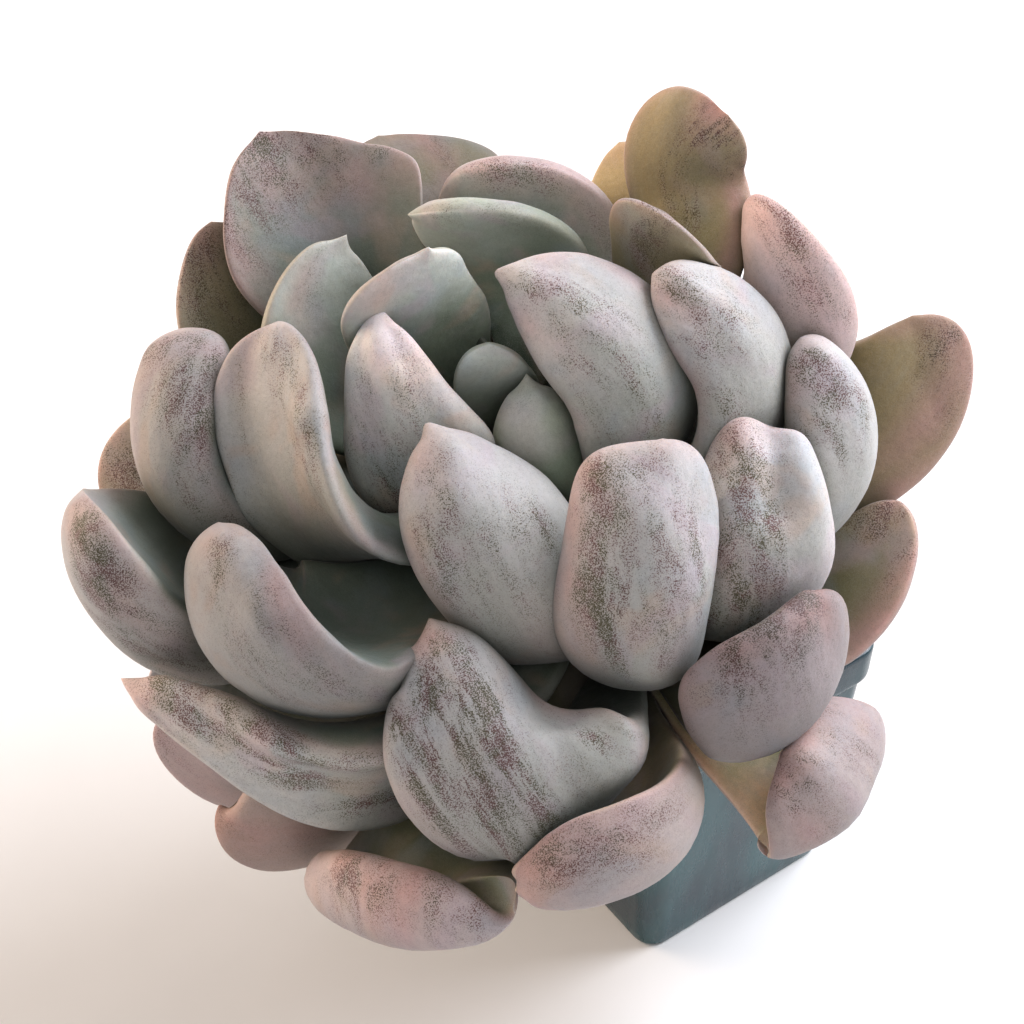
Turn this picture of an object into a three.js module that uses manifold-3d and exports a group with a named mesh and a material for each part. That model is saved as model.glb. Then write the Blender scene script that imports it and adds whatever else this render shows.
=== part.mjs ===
import * as THREE from "three";
import { ConvexGeometry } from "three/addons/geometries/ConvexGeometry.js";
import { mergeVertices } from "three/addons/utils/BufferGeometryUtils.js";
import Module from "manifold-3d";

// A fleshy rosette succulent in a small square nursery pot.
// Millimetres, +Z up. The origin is the centre of the pot's underside, which rests on the floor,
// and the pot's sides run along X and Y.

// ---- driving dimensions -------------------------------------------------
const GAP = 0.35; // clearance kept between neighbouring pieces
const POT_BASE_SIDE = 45.8; // outside, at the floor
const POT_SHOULDER_SIDE = 51.3; // outside, under the lip
const POT_SHOULDER_Z = 52.6;
const POT_LIP_SIDE = 53.2; // outside of the lip
const POT_HEIGHT = 60.5;
const POT_WALL = 1.3;
const POT_FLOOR = 1.8;
const POT_CORNER = 5.5; // radius of the vertical corners
const DRAIN_RADIUS = 3.2;
const DRAIN_OFFSET = 12.5; // drain holes from the centre, along both diagonals
const SOIL_TOP = 54.0;
const STEM_FOOT = [-8.37, -1.42, 55.00]; // centre of the stem at soil level
const STEM_TIP = [-22.63, 28.23, 108.00]; // growing point
const STEM_SINK = 9; // length of stem below the soil's surface
const STEM_RADIUS_FOOT = 5.2;
const STEM_RADIUS_TIP = 2.0;
const RINGS = 9; // cross-sections along a leaf
const SIDES = 8; // corners of each cross-section
const INNER_SHARE = 0.65; // thickness of a leaf above its middle surface, against the mean
const OUTER_SHARE = 1.35; // thickness below it: the outer face is the fuller one

// ---- leaves -------------------------------------------------------------
// One row a leaf, from the one nearest the viewer to the ones behind, which give way to it where they press together:
// name, height of its foot along the stem, then the second, third and last control points of its middle line,
// twist at the foot and at the tip, half width, where it is widest, roundness of its end, half thickness, cupping,
// and small swellings of its two edges.
const LEAVES = [
  ["leaf_47", 4.36, -43.66, -18.7, 74.42, -56.03, -48.14, 60.5, -56.66, -2.94, 93.76, -0.227, 0.775, 12.756, 0.607, 2.386, 5.345, 0.075, -0.227, 0.363, 0.491, 0.169, 0.131, 0.45, -0.042, -0.179, "#a19890"],
  ["leaf_35", 23.55, -22.08, -25.23, 75.26, -34.26, -29.22, 91.74, -19.17, -12.81, 121.03, 0.222, 0.255, 13.976, 0.71, 2.764, 5.86, 0.384, -0.018, 0.094, -0.055, 0.095, 0.035, -0.116, 0.012, 0.03, "#a9a3a0"],
  ["leaf_29", 28.05, -7.55, -19.79, 76.4, -2.2, -38.82, 85.81, -1.4, -10.91, 115.06, -0.096, -0.823, 11.706, 0.693, 2.749, 4.297, 0.098, -0.021, 0.031, 0.006, 0.012, -0.051, 0.005, -0.081, 0.058, "#a3968f"],
  ["leaf_20", 36.11, -27.94, -11.29, 78.9, -42.43, -20.12, 86, -45.35, 13.33, 118.24, -0.34, 0.862, 13.451, 0.498, 2.683, 5.442, 0.222, 0.025, 0.015, 0.093, 0.075, 0.063, 0.026, 0.145, -0.053, "#a9a6a2"],
  ["leaf_43", 15.92, -12.17, -55.97, 75.87, -13.67, -35.91, 73.22, -14.87, -37.01, 97.74, 0.133, -0.069, 15.361, 0.827, 2.878, 4.28, 0.212, -0.04, -0.07, 0.029, 0.008, 0.046, -0.073, 0.166, 0.075, "#a89a92"],
  ["leaf_32", 26.61, -49.19, -14.47, 70.2, -82.19, -0.66, 64.33, -97.56, 28.4, 77.88, -0.126, 1.332, 13.314, 0.547, 1.068, 5.163, -0.557, 0.002, 0.118, -0.295, -0.206, 0.015, -0.076, -0.029, -0.059, "#a0968c"],
  ["leaf_45", 10.36, -53.18, -5.66, 55.16, -80.57, -27.05, 35.55, -74.11, -18.18, 60.84, -1.701, 0.431, 16.334, 0.814, 2.802, 5.795, 0.18, -0.047, 0.047, 0.309, 0.091, -0.189, -0.073, 0.341, -0.055, "#a58f89"],
  ["leaf_46", 6.3, -33.28, -22.86, 55.98, -25.22, -49.48, 71.49, -62.5, -36.18, 62.64, -0.01, 0.443, 9.1, 0.716, 2.439, 5.424, 0.46, -0.077, 0.113, 0.031, -0.053, -0.084, 0.13, 0.192, 0.029, "#ab9891"],
  ["leaf_42", 17.17, -10.67, -40, 55.47, 0.64, -59.77, 56.04, -15.1, -43.91, 72.82, -0.212, 0.248, 16.216, 0.792, 2.993, 4.515, 0.245, -0.034, -0.18, -0.024, -0.041, -0.058, -0.077, 0.027, 0.017, "#a99690"],
  ["leaf_38", 20.57, -71.51, 4.92, 37.47, -96.17, 12.79, 59.13, -88.32, 18.2, 53.8, 0.5, 1.324, 13.544, 0.684, 2.835, 3.752, -0.126, 0.042, -0.074, 0.14, 0.01, -0.04, -0.122, -0.137, -0.019, "#9c7468"],
  ["leaf_30", 27.59, -57.13, 4.8, 55.95, -86.02, 20.49, 45.76, -84.73, 27.2, 68.08, 0.163, 1, 14.645, 0.758, 3.194, 2.021, -0.138, -0.002, 0.002, 0.151, 0.092, -0.083, -0.048, -0.126, 0.005, "#b29a94"],
  ["leaf_18", 39.9, -32.56, 18.36, 81.96, -51.37, 17.04, 107.44, -41.94, 33.9, 126.89, 0.668, 0.681, 11.76, 0.52, 2.09, 2.821, 0.001, 0.085, 0.098, -0.178, 0.028, -0.088, 0.189, -0.049, -0.037, "#a3a39b"],
  ["leaf_21", 35.88, -55, 8.16, 79.16, -86.41, 4.09, 78.39, -78.14, 27.95, 104.72, -0.646, -0.362, 16.465, 0.617, 2.565, 7.781, 0.493, -0.207, -0.055, 0.019, -0.067, -0.154, 0.187, -0.001, 0.03, "#a7a39c"],
  ["leaf_31", 27.28, 4.57, -18.81, 88.85, 23.46, -25.98, 98.49, 15.02, -6.79, 123.08, 0.033, -0.502, 10.908, 0.631, 2.567, 5.243, 0.247, -0.068, -0.045, 0.006, -0.063, -0.011, 0.004, -0.074, -0.034, "#b5a8a8"],
  ["leaf_24", 33.51, -3.26, -9.27, 97.36, 18.12, -14.32, 115.88, -3.12, 10.02, 133.81, -0.449, -0.621, 10.554, 0.609, 2.609, 4.167, 0.07, -0.03, -0.015, 0.001, 0.001, 0.029, -0.03, 0.021, -0.037, "#bcb3b3"],
  ["leaf_23", 34.12, -9.11, -4.57, 105.2, -4.37, 1.86, 125.95, -21.67, 25.95, 132.05, -0.325, -0.692, 12.228, 0.523, 2.108, 4.881, 0.076, 0.053, 0.01, 0.11, -0.032, 0.016, 0.009, 0.071, -0.061, "#b3b0b0"],
  ["leaf_15", 48.61, -15.15, 8.73, 97.31, -28.54, 6.66, 97.81, -23.87, 16.66, 116.24, -0.343, 0.173, 7.845, 0.587, 2.377, 4.728, 0.163, 0.018, 0.042, 0.017, -0.076, -0.022, -0.031, 0.029, 0.003, "#8a9c82"],
  ["leaf_08", 53.25, -11.57, 31.3, 90.03, -28.65, 23.35, 102.59, -27.82, 22.17, 122.77, -0.03, -0.63, 7.983, 0.654, 2.415, 3.046, 0.141, 0.057, 0.017, -0.035, -0.07, 0.034, -0.094, -0.11, -0.016, "#6f8070"],
  ["leaf_11", 51.04, -11.89, 30.43, 92.02, -18.04, 42.29, 87.91, -8.91, 46.43, 97.78, 0.055, -0.012, 7.624, 0.615, 2.626, 4.593, 0.164, -0.004, 0.003, 0.002, 0.001, -0.001, -0.009, -0.003, -0.003, "#93a08e"],
  ["leaf_09", 51.59, -58.59, 6.2, 92.77, -67.14, 27.98, 98.03, -54.34, 45.92, 123.82, -0.285, 0.511, 14.41, 0.593, 2.619, 3.848, -0.388, 0.001, -0.069, -0.027, -0.017, -0.036, -0.042, -0.071, 0.042, "#aaa29a"],
  ["leaf_16", 46.8, -62.82, 38.31, 79.14, -90.44, 18.55, 66.06, -89.93, 50.04, 99.09, 0.317, -0.288, 12.43, 0.805, 2.996, 8.109, 0.391, -0.204, -0.14, 0.215, 0.351, -0.18, -0.398, -0.102, 0.344, "#8f8a82"],
  ["leaf_06", 57.37, -48.18, 36.42, 93.35, -82.46, 31.59, 81.4, -66.13, 62.41, 116.14, -1.402, 0.467, 8.987, 0.756, 2.873, 8.115, 0.08, 0.046, -0.106, -0.253, -0.339, -0.089, -0.1, 0.081, 0.035, "#a0978e"],
  ["leaf_02", 61.1, -13.38, 37.84, 96.18, -37.33, 37.67, 111.55, -33.51, 32.12, 138.06, -0.798, -0.309, 12.332, 0.637, 2.84, 2.325, -0.084, 0.08, -0.033, -0.152, -0.013, 0.023, 0.05, 0.198, -0.035, "#7d8a7c"],
  ["leaf_05", 59.29, -38.75, 32.79, 94.27, -53.5, 51.01, 109.07, -36.35, 54.9, 128.2, -0.49, -1.201, 12.522, 0.595, 2.492, 3.552, 0.17, 0.02, -0.036, 0.076, -0.003, 0.026, 0.135, 0.004, -0.113, "#8c9588"],
  ["leaf_03", 60.33, -4.23, 34.05, 108.78, -6.02, 36.63, 125.93, -26.82, 45.38, 135.71, 1.128, 0.115, 12.781, 0.538, 2.265, 3.547, 0.037, 0.003, 0.041, -0.006, 0.038, 0.032, -0.028, -0.004, -0.044, "#8f9a90"],
  ["leaf_12", 51.01, -36.48, 50.48, 89.77, -69, 52.63, 77.59, -69.79, 67.78, 99.26, -0.466, -1.09, 15.074, 0.794, 2.995, 4.498, 0.051, 0.054, -0.053, -0.061, 0.013, -0.008, -0.081, 0.186, 0.087, "#8c817c"],
  ["leaf_19", 37.37, 32.55, -5.8, 98.45, 16.14, 0.64, 133.96, 22.96, 15.24, 132.53, 0.621, -3.105, 11.885, 0.689, 2.78, 4.55, 0.224, -0.142, -0.01, -0.12, -0.072, -0.026, 0.028, 0.048, 0.033, "#b59e9e"],
  ["leaf_44", 13.4, 1.2, -7.15, 58.84, 15.48, -26.58, 60.61, 26.6, -23.93, 93.03, 0.139, 1.278, 10.422, 0.625, 2.481, 4.389, 0.169, 0.018, 0.075, -0.061, -0.123, -0.021, 0.019, 0.018, -0.023, "#8a7c74"],
  ["leaf_33", 25.07, 9.84, 6.83, 82.3, 39.07, -18.04, 96.94, 39.99, -8.29, 117.21, 0.31, 1.436, 14.894, 0.692, 2.356, 4.615, -0.026, -0.069, 0.009, -0.016, -0.009, -0.037, -0.036, -0.075, -0.025, "#9a8f68"],
  ["leaf_14", 49.84, 5.54, 5.43, 106.91, 9.16, 27.38, 117.39, 0.78, 13.75, 141.91, 0.277, 0.723, 11.797, 0.696, 2.898, 2.436, -0.032, 0.117, -0.039, 0.097, 0.005, -0.002, -0.029, -0.101, 0.015, "#5f6358"],
  ["leaf_13", 49.89, 1.49, 35.55, 105.17, 15.59, 39.42, 128.15, -14.89, 55.83, 129.05, 0.167, 0.892, 10.89, 0.694, 2.433, 4.498, 0.122, 0.098, 0.054, -0.051, -0.043, -0.054, -0.101, 0.062, -0.02, "#a09a98"],
  ["leaf_01", 61.69, -25.03, 50.01, 114.29, -34.39, 66.58, 117.41, -38.69, 76.49, 138.64, -1.197, -0.091, 15.933, 0.646, 1.828, 3.494, 0.3, -0.107, 0.181, 0.11, -0.107, 0.079, 0.068, 0.183, -0.011, "#9c9a8c"],
  ["leaf_04", 59.51, -25.63, 54.5, 102.47, -51.89, 61.24, 94.61, -50.06, 76.79, 124.55, -0.742, -0.417, 14.281, 0.624, 2.082, 3.751, 0.193, -0.009, -0.047, 0.015, 0.018, -0.06, 0.029, 0.141, -0.089, "#8f817a"],
  ["leaf_10", 51.52, 30.84, 9.18, 140.89, 10.97, 36.72, 126.29, 18.99, 19.73, 151.44, 0.214, 1.168, 12.492, 0.713, 2.838, 2.551, -0.138, -0.012, -0.055, -0.133, 0.002, -0.052, -0.09, 0.036, 0.055, "#9a8c70"],
  ["leaf_17", 40.46, 1.16, 32.4, 92.18, 18.68, 30.73, 116.43, 16, 44.11, 134.93, -0.052, 0.131, 12.887, 0.618, 2.291, 4.232, 0.132, 0, 0.07, -0.004, 0.024, 0.009, -0.021, -0.044, 0.012, "#8a7a60"],
  ["leaf_07", 55.05, -15.4, 62.64, 108.88, -17.18, 25.11, 95.22, -10.83, 80.04, 127.44, -0.53, 0.57, 15.41, 0.707, 2.759, 4.203, 0.092, 0.029, -0.03, 0.167, 0.088, 0.011, -0.065, 0.025, -0.016, "#8f8a60"],
  ["leaf_34", 25.05, 4.72, 14.76, 71.72, 25.26, 13.41, 76.66, 42.12, 14.86, 88.27, 0.338, 0.098, 11.603, 0.623, 2.599, 4.594, 0.159, -0.009, 0, -0.002, -0.002, 0, 0.002, 0.001, 0, "#a8a39d"],
  ["leaf_26", 32.16, 4.17, 14.84, 81.53, 22.06, 25.04, 83.21, 34.06, 38.79, 91.09, -0.215, -0.115, 11.519, 0.624, 2.577, 4.599, 0.151, 0.002, -0.002, 0.003, -0.002, -0.001, 0, -0.002, 0.001, "#a8a39d"],
  ["leaf_25", 32.38, -3.11, 28.24, 74.95, 10.67, 43, 78.98, 16.66, 58.2, 90.92, -0.113, -0.07, 11.656, 0.623, 2.6, 4.649, 0.159, -0.002, 0.002, -0.001, -0.002, -0.001, 0.002, -0.001, 0.001, "#a8a39d"],
  ["leaf_22", 35.25, -10.57, 32.22, 78.76, -5.25, 51, 80.83, -8.75, 67.73, 88.86, 0.011, -0.051, 11.353, 0.621, 2.6, 4.655, 0.161, 0.003, 0.001, 0.001, -0.002, 0.001, -0.003, 0.001, 0.001, "#a8a39d"],
  ["leaf_27", 31.04, -22.1, 28.45, 71.71, -29.74, 46.35, 71.69, -35.8, 61.21, 82.09, 0.027, 0.016, 11.374, 0.621, 2.609, 4.707, 0.159, -0.002, -0.002, 0, 0, 0, 0.001, -0.001, 0.001, "#a8a39d"],
  ["leaf_28", 28.3, -30.68, 16.96, 69.67, -44.06, 31.26, 66.24, -56.59, 44.26, 72.54, 0.079, -0.161, 11.232, 0.623, 2.6, 4.602, 0.149, 0.002, -0.002, 0, 0.002, 0.002, 0, -0.009, -0.002, "#a8a39d"],
  ["leaf_37", 21.82, 5.37, -2.9, 72.77, 26.39, 3.35, 70.47, 36.34, -15.67, 78.47, -0.264, 0.463, 10.831, 0.628, 2.599, 4.53, 0.161, 0.011, -0.018, -0.014, -0.002, 0, 0.004, 0.006, 0, "#a8a39d"],
  ["leaf_40", 20.24, -0.17, 20.32, 64.92, 8.42, 38.34, 63.42, 24.98, 39.74, 72.69, 0.186, 0.333, 11.119, 0.623, 2.6, 4.557, 0.156, -0.002, -0.003, 0.001, -0.004, -0.002, 0.002, 0.004, 0.001, "#a8a39d"],
  ["leaf_36", 22.36, -13.36, 26.13, 63.93, -25, 43.16, 61.1, -13.99, 57.59, 68.04, -0.006, 0.179, 10.995, 0.624, 2.571, 4.632, 0.176, 0, 0.002, -0.001, 0, 0, 0.008, -0.01, -0.002, "#a8a39d"],
  ["leaf_41", 18.67, 1.68, 7.63, 60.55, 19.73, 5.77, 60.03, 33.95, -2.2, 69.24, 0.195, 0.639, 11.041, 0.62, 2.577, 4.347, 0.165, -0.003, 0, -0.004, 0.009, -0.005, 0.003, 0.013, 0.005, "#a8a39d"],
  ["leaf_39", 20.52, -39.06, 26.33, 52.78, -81.88, 46, 54.49, -74.66, 38.71, 61.06, 0.043, -1.213, 16.56, 0.834, 3.407, 4.406, -0.007, -0.027, -0.019, -0.015, -0.014, -0.031, -0.097, 0.101, 0.134, "#a8a39d"],
];

// ---- helpers ------------------------------------------------------------
const wasm = await Module();
wasm.setup();

function solid(geometry) {
  const g = geometry.clone();
  for (const name of Object.keys(g.attributes))
    if (name !== "position") g.deleteAttribute(name);
  const merged = mergeVertices(g, 1e-4);
  return new wasm.Manifold(
    new wasm.Mesh({
      numProp: 3,
      vertProperties: new Float32Array(merged.attributes.position.array),
      triVerts: new Uint32Array(merged.index.array),
    }),
  );
}

// The largest body of a solid that a cut has split, without slivers.
function largest(s) {
  const bodies = s.decompose().filter((b) => b.numTri() > 0);
  bodies.sort((a, b) => b.volume() - a.volume());
  return bodies[0];
}

// Whether every edge of a mesh, its corners rounded to 0.1 micrometre, still joins exactly two faces.
function pairsUp(vertices, triangles, n) {
  const ids = new Map();
  const id = [];
  for (let i = 0; i < vertices.length; i += n) {
    const key = [0, 1, 2].map((k) => Math.round(vertices[i + k] * 1e4)).join();
    if (!ids.has(key)) ids.set(key, ids.size);
    id.push(ids.get(key));
  }
  const edges = new Map();
  for (let i = 0; i < triangles.length; i += 3) {
    const t = [0, 1, 2].map((k) => id[triangles[i + k]]);
    if (t[0] === t[1] || t[1] === t[2] || t[2] === t[0]) continue;
    for (let k = 0; k < 3; k++) {
      const e = t[k] + "," + t[(k + 1) % 3];
      edges.set(e, (edges.get(e) || 0) + 1);
    }
  }
  for (const [e, count] of edges)
    if (count !== 1 || edges.get(e.split(",").reverse().join()) !== 1) return false;
  return true;
}

// Where two sheets of a skin touch at a corner, draws each a little into its own side.
function drawApart(v, triangles) {
  const at = new Map();
  for (let i = 0; i < v.length; i += 3) {
    const key = [0, 1, 2].map((k) => Math.round(v[i + k] * 200)).join();
    if (!at.has(key)) at.set(key, []);
    at.get(key).push(i);
  }
  const shared = new Set([...at.values()].filter((list) => list.length > 1).flat());
  if (!shared.size) return;
  const push = new Map([...shared].map((i) => [i, new THREE.Vector3()]));
  const [a, b, c] = [new THREE.Vector3(), new THREE.Vector3(), new THREE.Vector3()];
  for (let t = 0; t < triangles.length; t += 3) {
    const [i, j, k] = [0, 1, 2].map((q) => triangles[t + q] * 3);
    if (!shared.has(i) && !shared.has(j) && !shared.has(k)) continue;
    const normal = b.fromArray(v, j).sub(a.fromArray(v, i)).cross(c.fromArray(v, k).sub(a));
    for (const q of [i, j, k]) push.get(q)?.add(normal);
  }
  for (const [i, n] of push) {
    n.normalize();
    for (let k = 0; k < 3; k++) v[i + k] -= 0.04 * n.getComponent(k);
  }
}

function toMesh(name, s, material) {
  let g;
  for (const tolerance of [0.06, 0.08, 0.1, 0.13, 0.04, 0.17, 0.22, 0.3]) {
    const m = largest(s.simplify(tolerance)).getMesh();
    const n = m.numProp;
    const v = new Float32Array(m.numVert * 3);
    for (let i = 0; i < m.numVert; i++)
      v.set(m.vertProperties.subarray(i * n, i * n + 3), i * 3);
    drawApart(v, m.triVerts);
    g = new THREE.BufferGeometry();
    g.setAttribute("position", new THREE.BufferAttribute(v, 3));
    g.setIndex(new THREE.BufferAttribute(new Uint32Array(m.triVerts), 1));
    const merged = mergeVertices(g, 1e-3);
    let whole;
    try {
      whole = new wasm.Manifold(
        new wasm.Mesh({
          numProp: 3,
          vertProperties: merged.attributes.position.array,
          triVerts: new Uint32Array(merged.index.array),
        }),
      );
    } catch {
      continue;
    }
    const w = whole.getMesh();
    if (whole.decompose().length === 1 && pairsUp(w.vertProperties, w.triVerts, w.numProp)) break;
  }
  g.computeVertexNormals();
  const mesh = new THREE.Mesh(g, material);
  mesh.name = name;
  return mesh;
}

// A closed skin over rings of points, each ring with the same number of points, capped at both ends,
// the last one on `apex` where that is given.
function loft(rings, apex) {
  const n = rings[0].length;
  const position = [];
  const index = [];
  for (const ring of rings) for (const p of ring) position.push(p.x, p.y, p.z);
  for (let i = 0; i + 1 < rings.length; i++)
    for (let k = 0; k < n; k++) {
      const a = i * n + k;
      const b = i * n + ((k + 1) % n);
      index.push(a, b, b + n, a, b + n, a + n);
    }
  for (const [ring, flip] of [
    [0, true],
    [rings.length - 1, false],
  ]) {
    const centre = new THREE.Vector3();
    for (const p of rings[ring]) centre.addScaledVector(p, 1 / n);
    if (apex && !flip) centre.copy(apex);
    const c = position.length / 3;
    position.push(centre.x, centre.y, centre.z);
    for (let k = 0; k < n; k++) {
      const a = ring * n + k;
      const b = ring * n + ((k + 1) % n);
      if (flip) index.push(c, b, a);
      else index.push(c, a, b);
    }
  }
  const g = new THREE.BufferGeometry();
  g.setAttribute("position", new THREE.Float32BufferAttribute(position, 3));
  g.setIndex(index);
  return g;
}

const smooth = (x) => (x <= 0 ? 0 : x >= 1 ? 1 : x * x * (3 - 2 * x));
const foot = new THREE.Vector3(...STEM_FOOT);
const tip = new THREE.Vector3(...STEM_TIP);
const stemAxis = tip.clone().sub(foot).normalize();

// A leaf: a spoon of flesh on a curved middle line, grown by `swell` on every side.
function leafSolid(row, swell) {
  const [, s, x1, y1, z1, x2, y2, z2, x3, y3, z3, roll0, roll1, W, widest, round, T, cup, ...edge] = row;
  const p0 = foot.clone().addScaledVector(stemAxis, s);
  const p1 = new THREE.Vector3(x1, y1, z1);
  const p2 = new THREE.Vector3(x2, y2, z2);
  const p3 = new THREE.Vector3(x3, y3, z3);
  const line = new THREE.CubicBezierCurve3(p0, p1, p2, p3);
  line.arcLengthDivisions = 64;
  const out = p1.clone().add(p2).multiplyScalar(0.5).sub(p0);
  out.addScaledVector(stemAxis, -out.dot(stemAxis)).normalize();
  const across = stemAxis.clone().cross(out);
  const rings = [];
  let folded = false;
  for (let i = 0; i < RINGS; i++) {
    const u = 1 - Math.pow(1 - i / RINGS, 1.35);
    const centre = line.getPointAt(u);
    const along = line.getTangentAt(u);
    const b = across.clone().addScaledVector(along, -across.dot(along)).normalize();
    const n = along.clone().cross(b);
    const roll = roll0 + (roll1 - roll0) * u;
    const B = b.clone().multiplyScalar(Math.cos(roll)).addScaledVector(n, Math.sin(roll));
    const N = n.clone().multiplyScalar(Math.cos(roll)).addScaledVector(b, -Math.sin(roll));
    const width =
      u < widest
        ? 0.3 + 0.7 * smooth(u / widest)
        : Math.sqrt(Math.max(0, 1 - Math.pow((u - widest) / (1 - widest), round)));
    let left = 1;
    let right = 1;
    [0.35, 0.6, 0.82, 0.97].forEach((k, j) => {
      const e = Math.exp(-(((u - k) / 0.16) ** 2));
      left += edge[j] * e;
      right += edge[4 + j] * e;
    });
    const thick = u < 0.55 ? 0.42 + 0.58 * smooth(u / 0.55) : Math.sqrt(Math.max(0, 1 - ((u - 0.55) / 0.45) ** 3));
    const wl = W * width * left + swell;
    const wr = W * width * right + swell;
    const h = T * thick;
    const c = cup * smooth(u / 0.35);
    const ring = [];
    for (let k = 0; k < SIDES; k++) {
      const a = (2 * Math.PI * k) / SIDES;
      const co = Math.cos(a);
      const si = Math.sin(a);
      const w = co > 0 ? wr : wl;
      const y = c * w * co * co + (si > 0 ? (h * INNER_SHARE + swell) * si : (h * OUTER_SHARE + swell) * si);
      ring.push(centre.clone().addScaledVector(B, w * co).addScaledVector(N, y));
    }
    // on a tight bend the inner sides of two sections cross each other
    if (i && ring.some((p, k) => p.clone().sub(rings[i - 1][k]).dot(along) < 0.05)) folded = true;
    rings.push(ring);
  }
  // the rounded end closes on the tip
  const end = line.getPointAt(1).addScaledVector(line.getTangentAt(1), swell);
  if (!folded) return solid(loft(rings, end));
  let whole = solid(new ConvexGeometry([...rings[RINGS - 1], end]));
  for (let i = 1; i < RINGS; i++) whole = whole.add(solid(new ConvexGeometry([...rings[i - 1], ...rings[i]])));
  return whole;
}

// A square ring with rounded corners at height z.
function squareRing(side, radius, z, steps = 4) {
  const ring = [];
  const r = radius;
  const c = side / 2 - r;
  for (let q = 0; q < 4; q++)
    for (let i = 0; i <= steps; i++) {
      const a = (Math.PI / 2) * (q + i / steps);
      const sx = q === 0 || q === 3 ? 1 : -1;
      const sy = q < 2 ? 1 : -1;
      ring.push(new THREE.Vector3(sx * c + r * Math.cos(a), sy * c + r * Math.sin(a), z));
    }
  return ring;
}

// Outside of the tapered pot body at height z.
const sideAt = (z) => POT_BASE_SIDE + ((POT_SHOULDER_SIDE - POT_BASE_SIDE) * z) / POT_SHOULDER_Z;

// ---- materials ----------------------------------------------------------
const potPlastic = new THREE.MeshStandardMaterial({ color: 0x46605f, roughness: 0.38, metalness: 0 });
const pottingMix = new THREE.MeshStandardMaterial({ color: 0x3b2f26, roughness: 0.95, metalness: 0 });
const bark = new THREE.MeshStandardMaterial({ color: 0x8a7a62, roughness: 0.85, metalness: 0 });

const plant = new THREE.Group();

// ---- pot ----------------------------------------------------------------
const LIP_IN = POT_LIP_SIDE - 2 * POT_WALL - 0.6;
const shell = solid(
  loft([
    squareRing(POT_BASE_SIDE - 1.6, POT_CORNER - 0.8, 0),
    squareRing(POT_BASE_SIDE, POT_CORNER, 0.9),
    squareRing(POT_SHOULDER_SIDE, POT_CORNER, POT_SHOULDER_Z),
    squareRing(POT_LIP_SIDE, POT_CORNER + 0.9, POT_SHOULDER_Z + 0.7),
    squareRing(POT_LIP_SIDE + 0.4, POT_CORNER + 1.0, POT_HEIGHT - 0.8),
    squareRing(POT_LIP_SIDE - 0.6, POT_CORNER + 0.6, POT_HEIGHT),
  ]),
);
const hollow = solid(
  loft([
    squareRing(sideAt(POT_FLOOR) - 2 * POT_WALL, POT_CORNER - POT_WALL, POT_FLOOR),
    squareRing(sideAt(POT_SHOULDER_Z) - 2 * POT_WALL, POT_CORNER - POT_WALL, POT_SHOULDER_Z),
    squareRing(LIP_IN, POT_CORNER, POT_HEIGHT - 0.6),
    squareRing(LIP_IN + 1.2, POT_CORNER + 0.4, POT_HEIGHT + 1),
  ]),
);
let pot = shell.subtract(hollow);
for (const [sx, sy] of [
  [1, 1],
  [-1, 1],
  [-1, -1],
  [1, -1],
]) {
  const drill = new THREE.CylinderGeometry(DRAIN_RADIUS, DRAIN_RADIUS, 3 * POT_FLOOR, 12).rotateX(Math.PI / 2);
  drill.translate(sx * DRAIN_OFFSET, sy * DRAIN_OFFSET, POT_FLOOR / 2);
  pot = pot.subtract(solid(drill));
}
plant.add(toMesh("pot", pot, potPlastic));

// ---- stem ---------------------------------------------------------------
function stemGeometry(swell) {
  const rings = [];
  const total = foot.distanceTo(tip);
  const down = new THREE.Vector3(0, 0, -1);
  const e1 = new THREE.Vector3(1, 0, 0);
  for (let i = 0; i <= 9; i++) {
    const t = i / 9;
    const s = -STEM_SINK - swell + t * (total + STEM_SINK + 2 * swell - 1.5);
    const p =
      s < 0 ? foot.clone().addScaledVector(down, -s) : foot.clone().addScaledVector(stemAxis, s);
    const k = Math.max(0, s) / total;
    const r = (STEM_RADIUS_FOOT + (STEM_RADIUS_TIP - STEM_RADIUS_FOOT) * k) * (i === 9 ? 0.6 : 1) + swell;
    const axis = stemAxis.clone().lerp(new THREE.Vector3(0, 0, 1), s < 0 ? 0.8 : 0).normalize();
    const a = e1.clone().addScaledVector(axis, -e1.dot(axis)).normalize();
    const b = axis.clone().cross(a);
    const ring = [];
    for (let j = 0; j < 10; j++) {
      const q = (2 * Math.PI * j) / 10;
      ring.push(p.clone().addScaledVector(a, r * Math.cos(q)).addScaledVector(b, r * Math.sin(q)));
    }
    rings.push(ring);
  }
  return loft(rings);
}
const stemClear = solid(stemGeometry(GAP));
plant.add(toMesh("stem", solid(stemGeometry(0)), bark));

// ---- soil ---------------------------------------------------------------
let soil = solid(
  loft([
    squareRing(sideAt(POT_FLOOR + GAP) - 2 * POT_WALL - 2 * GAP, POT_CORNER - POT_WALL - GAP, POT_FLOOR + GAP),
    squareRing(sideAt(POT_SHOULDER_Z - 1) - 2 * POT_WALL - 2 * GAP, POT_CORNER - POT_WALL - GAP, POT_SHOULDER_Z - 1),
    squareRing(sideAt(POT_SHOULDER_Z) - 2 * POT_WALL - 2.4 * GAP, POT_CORNER - POT_WALL - GAP, SOIL_TOP - 0.6),
    squareRing(sideAt(POT_SHOULDER_Z) - 2 * POT_WALL - 4, POT_CORNER - POT_WALL - GAP, SOIL_TOP),
  ]),
);
soil = soil.subtract(stemClear);
plant.add(toMesh("soil", soil, pottingMix));

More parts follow.
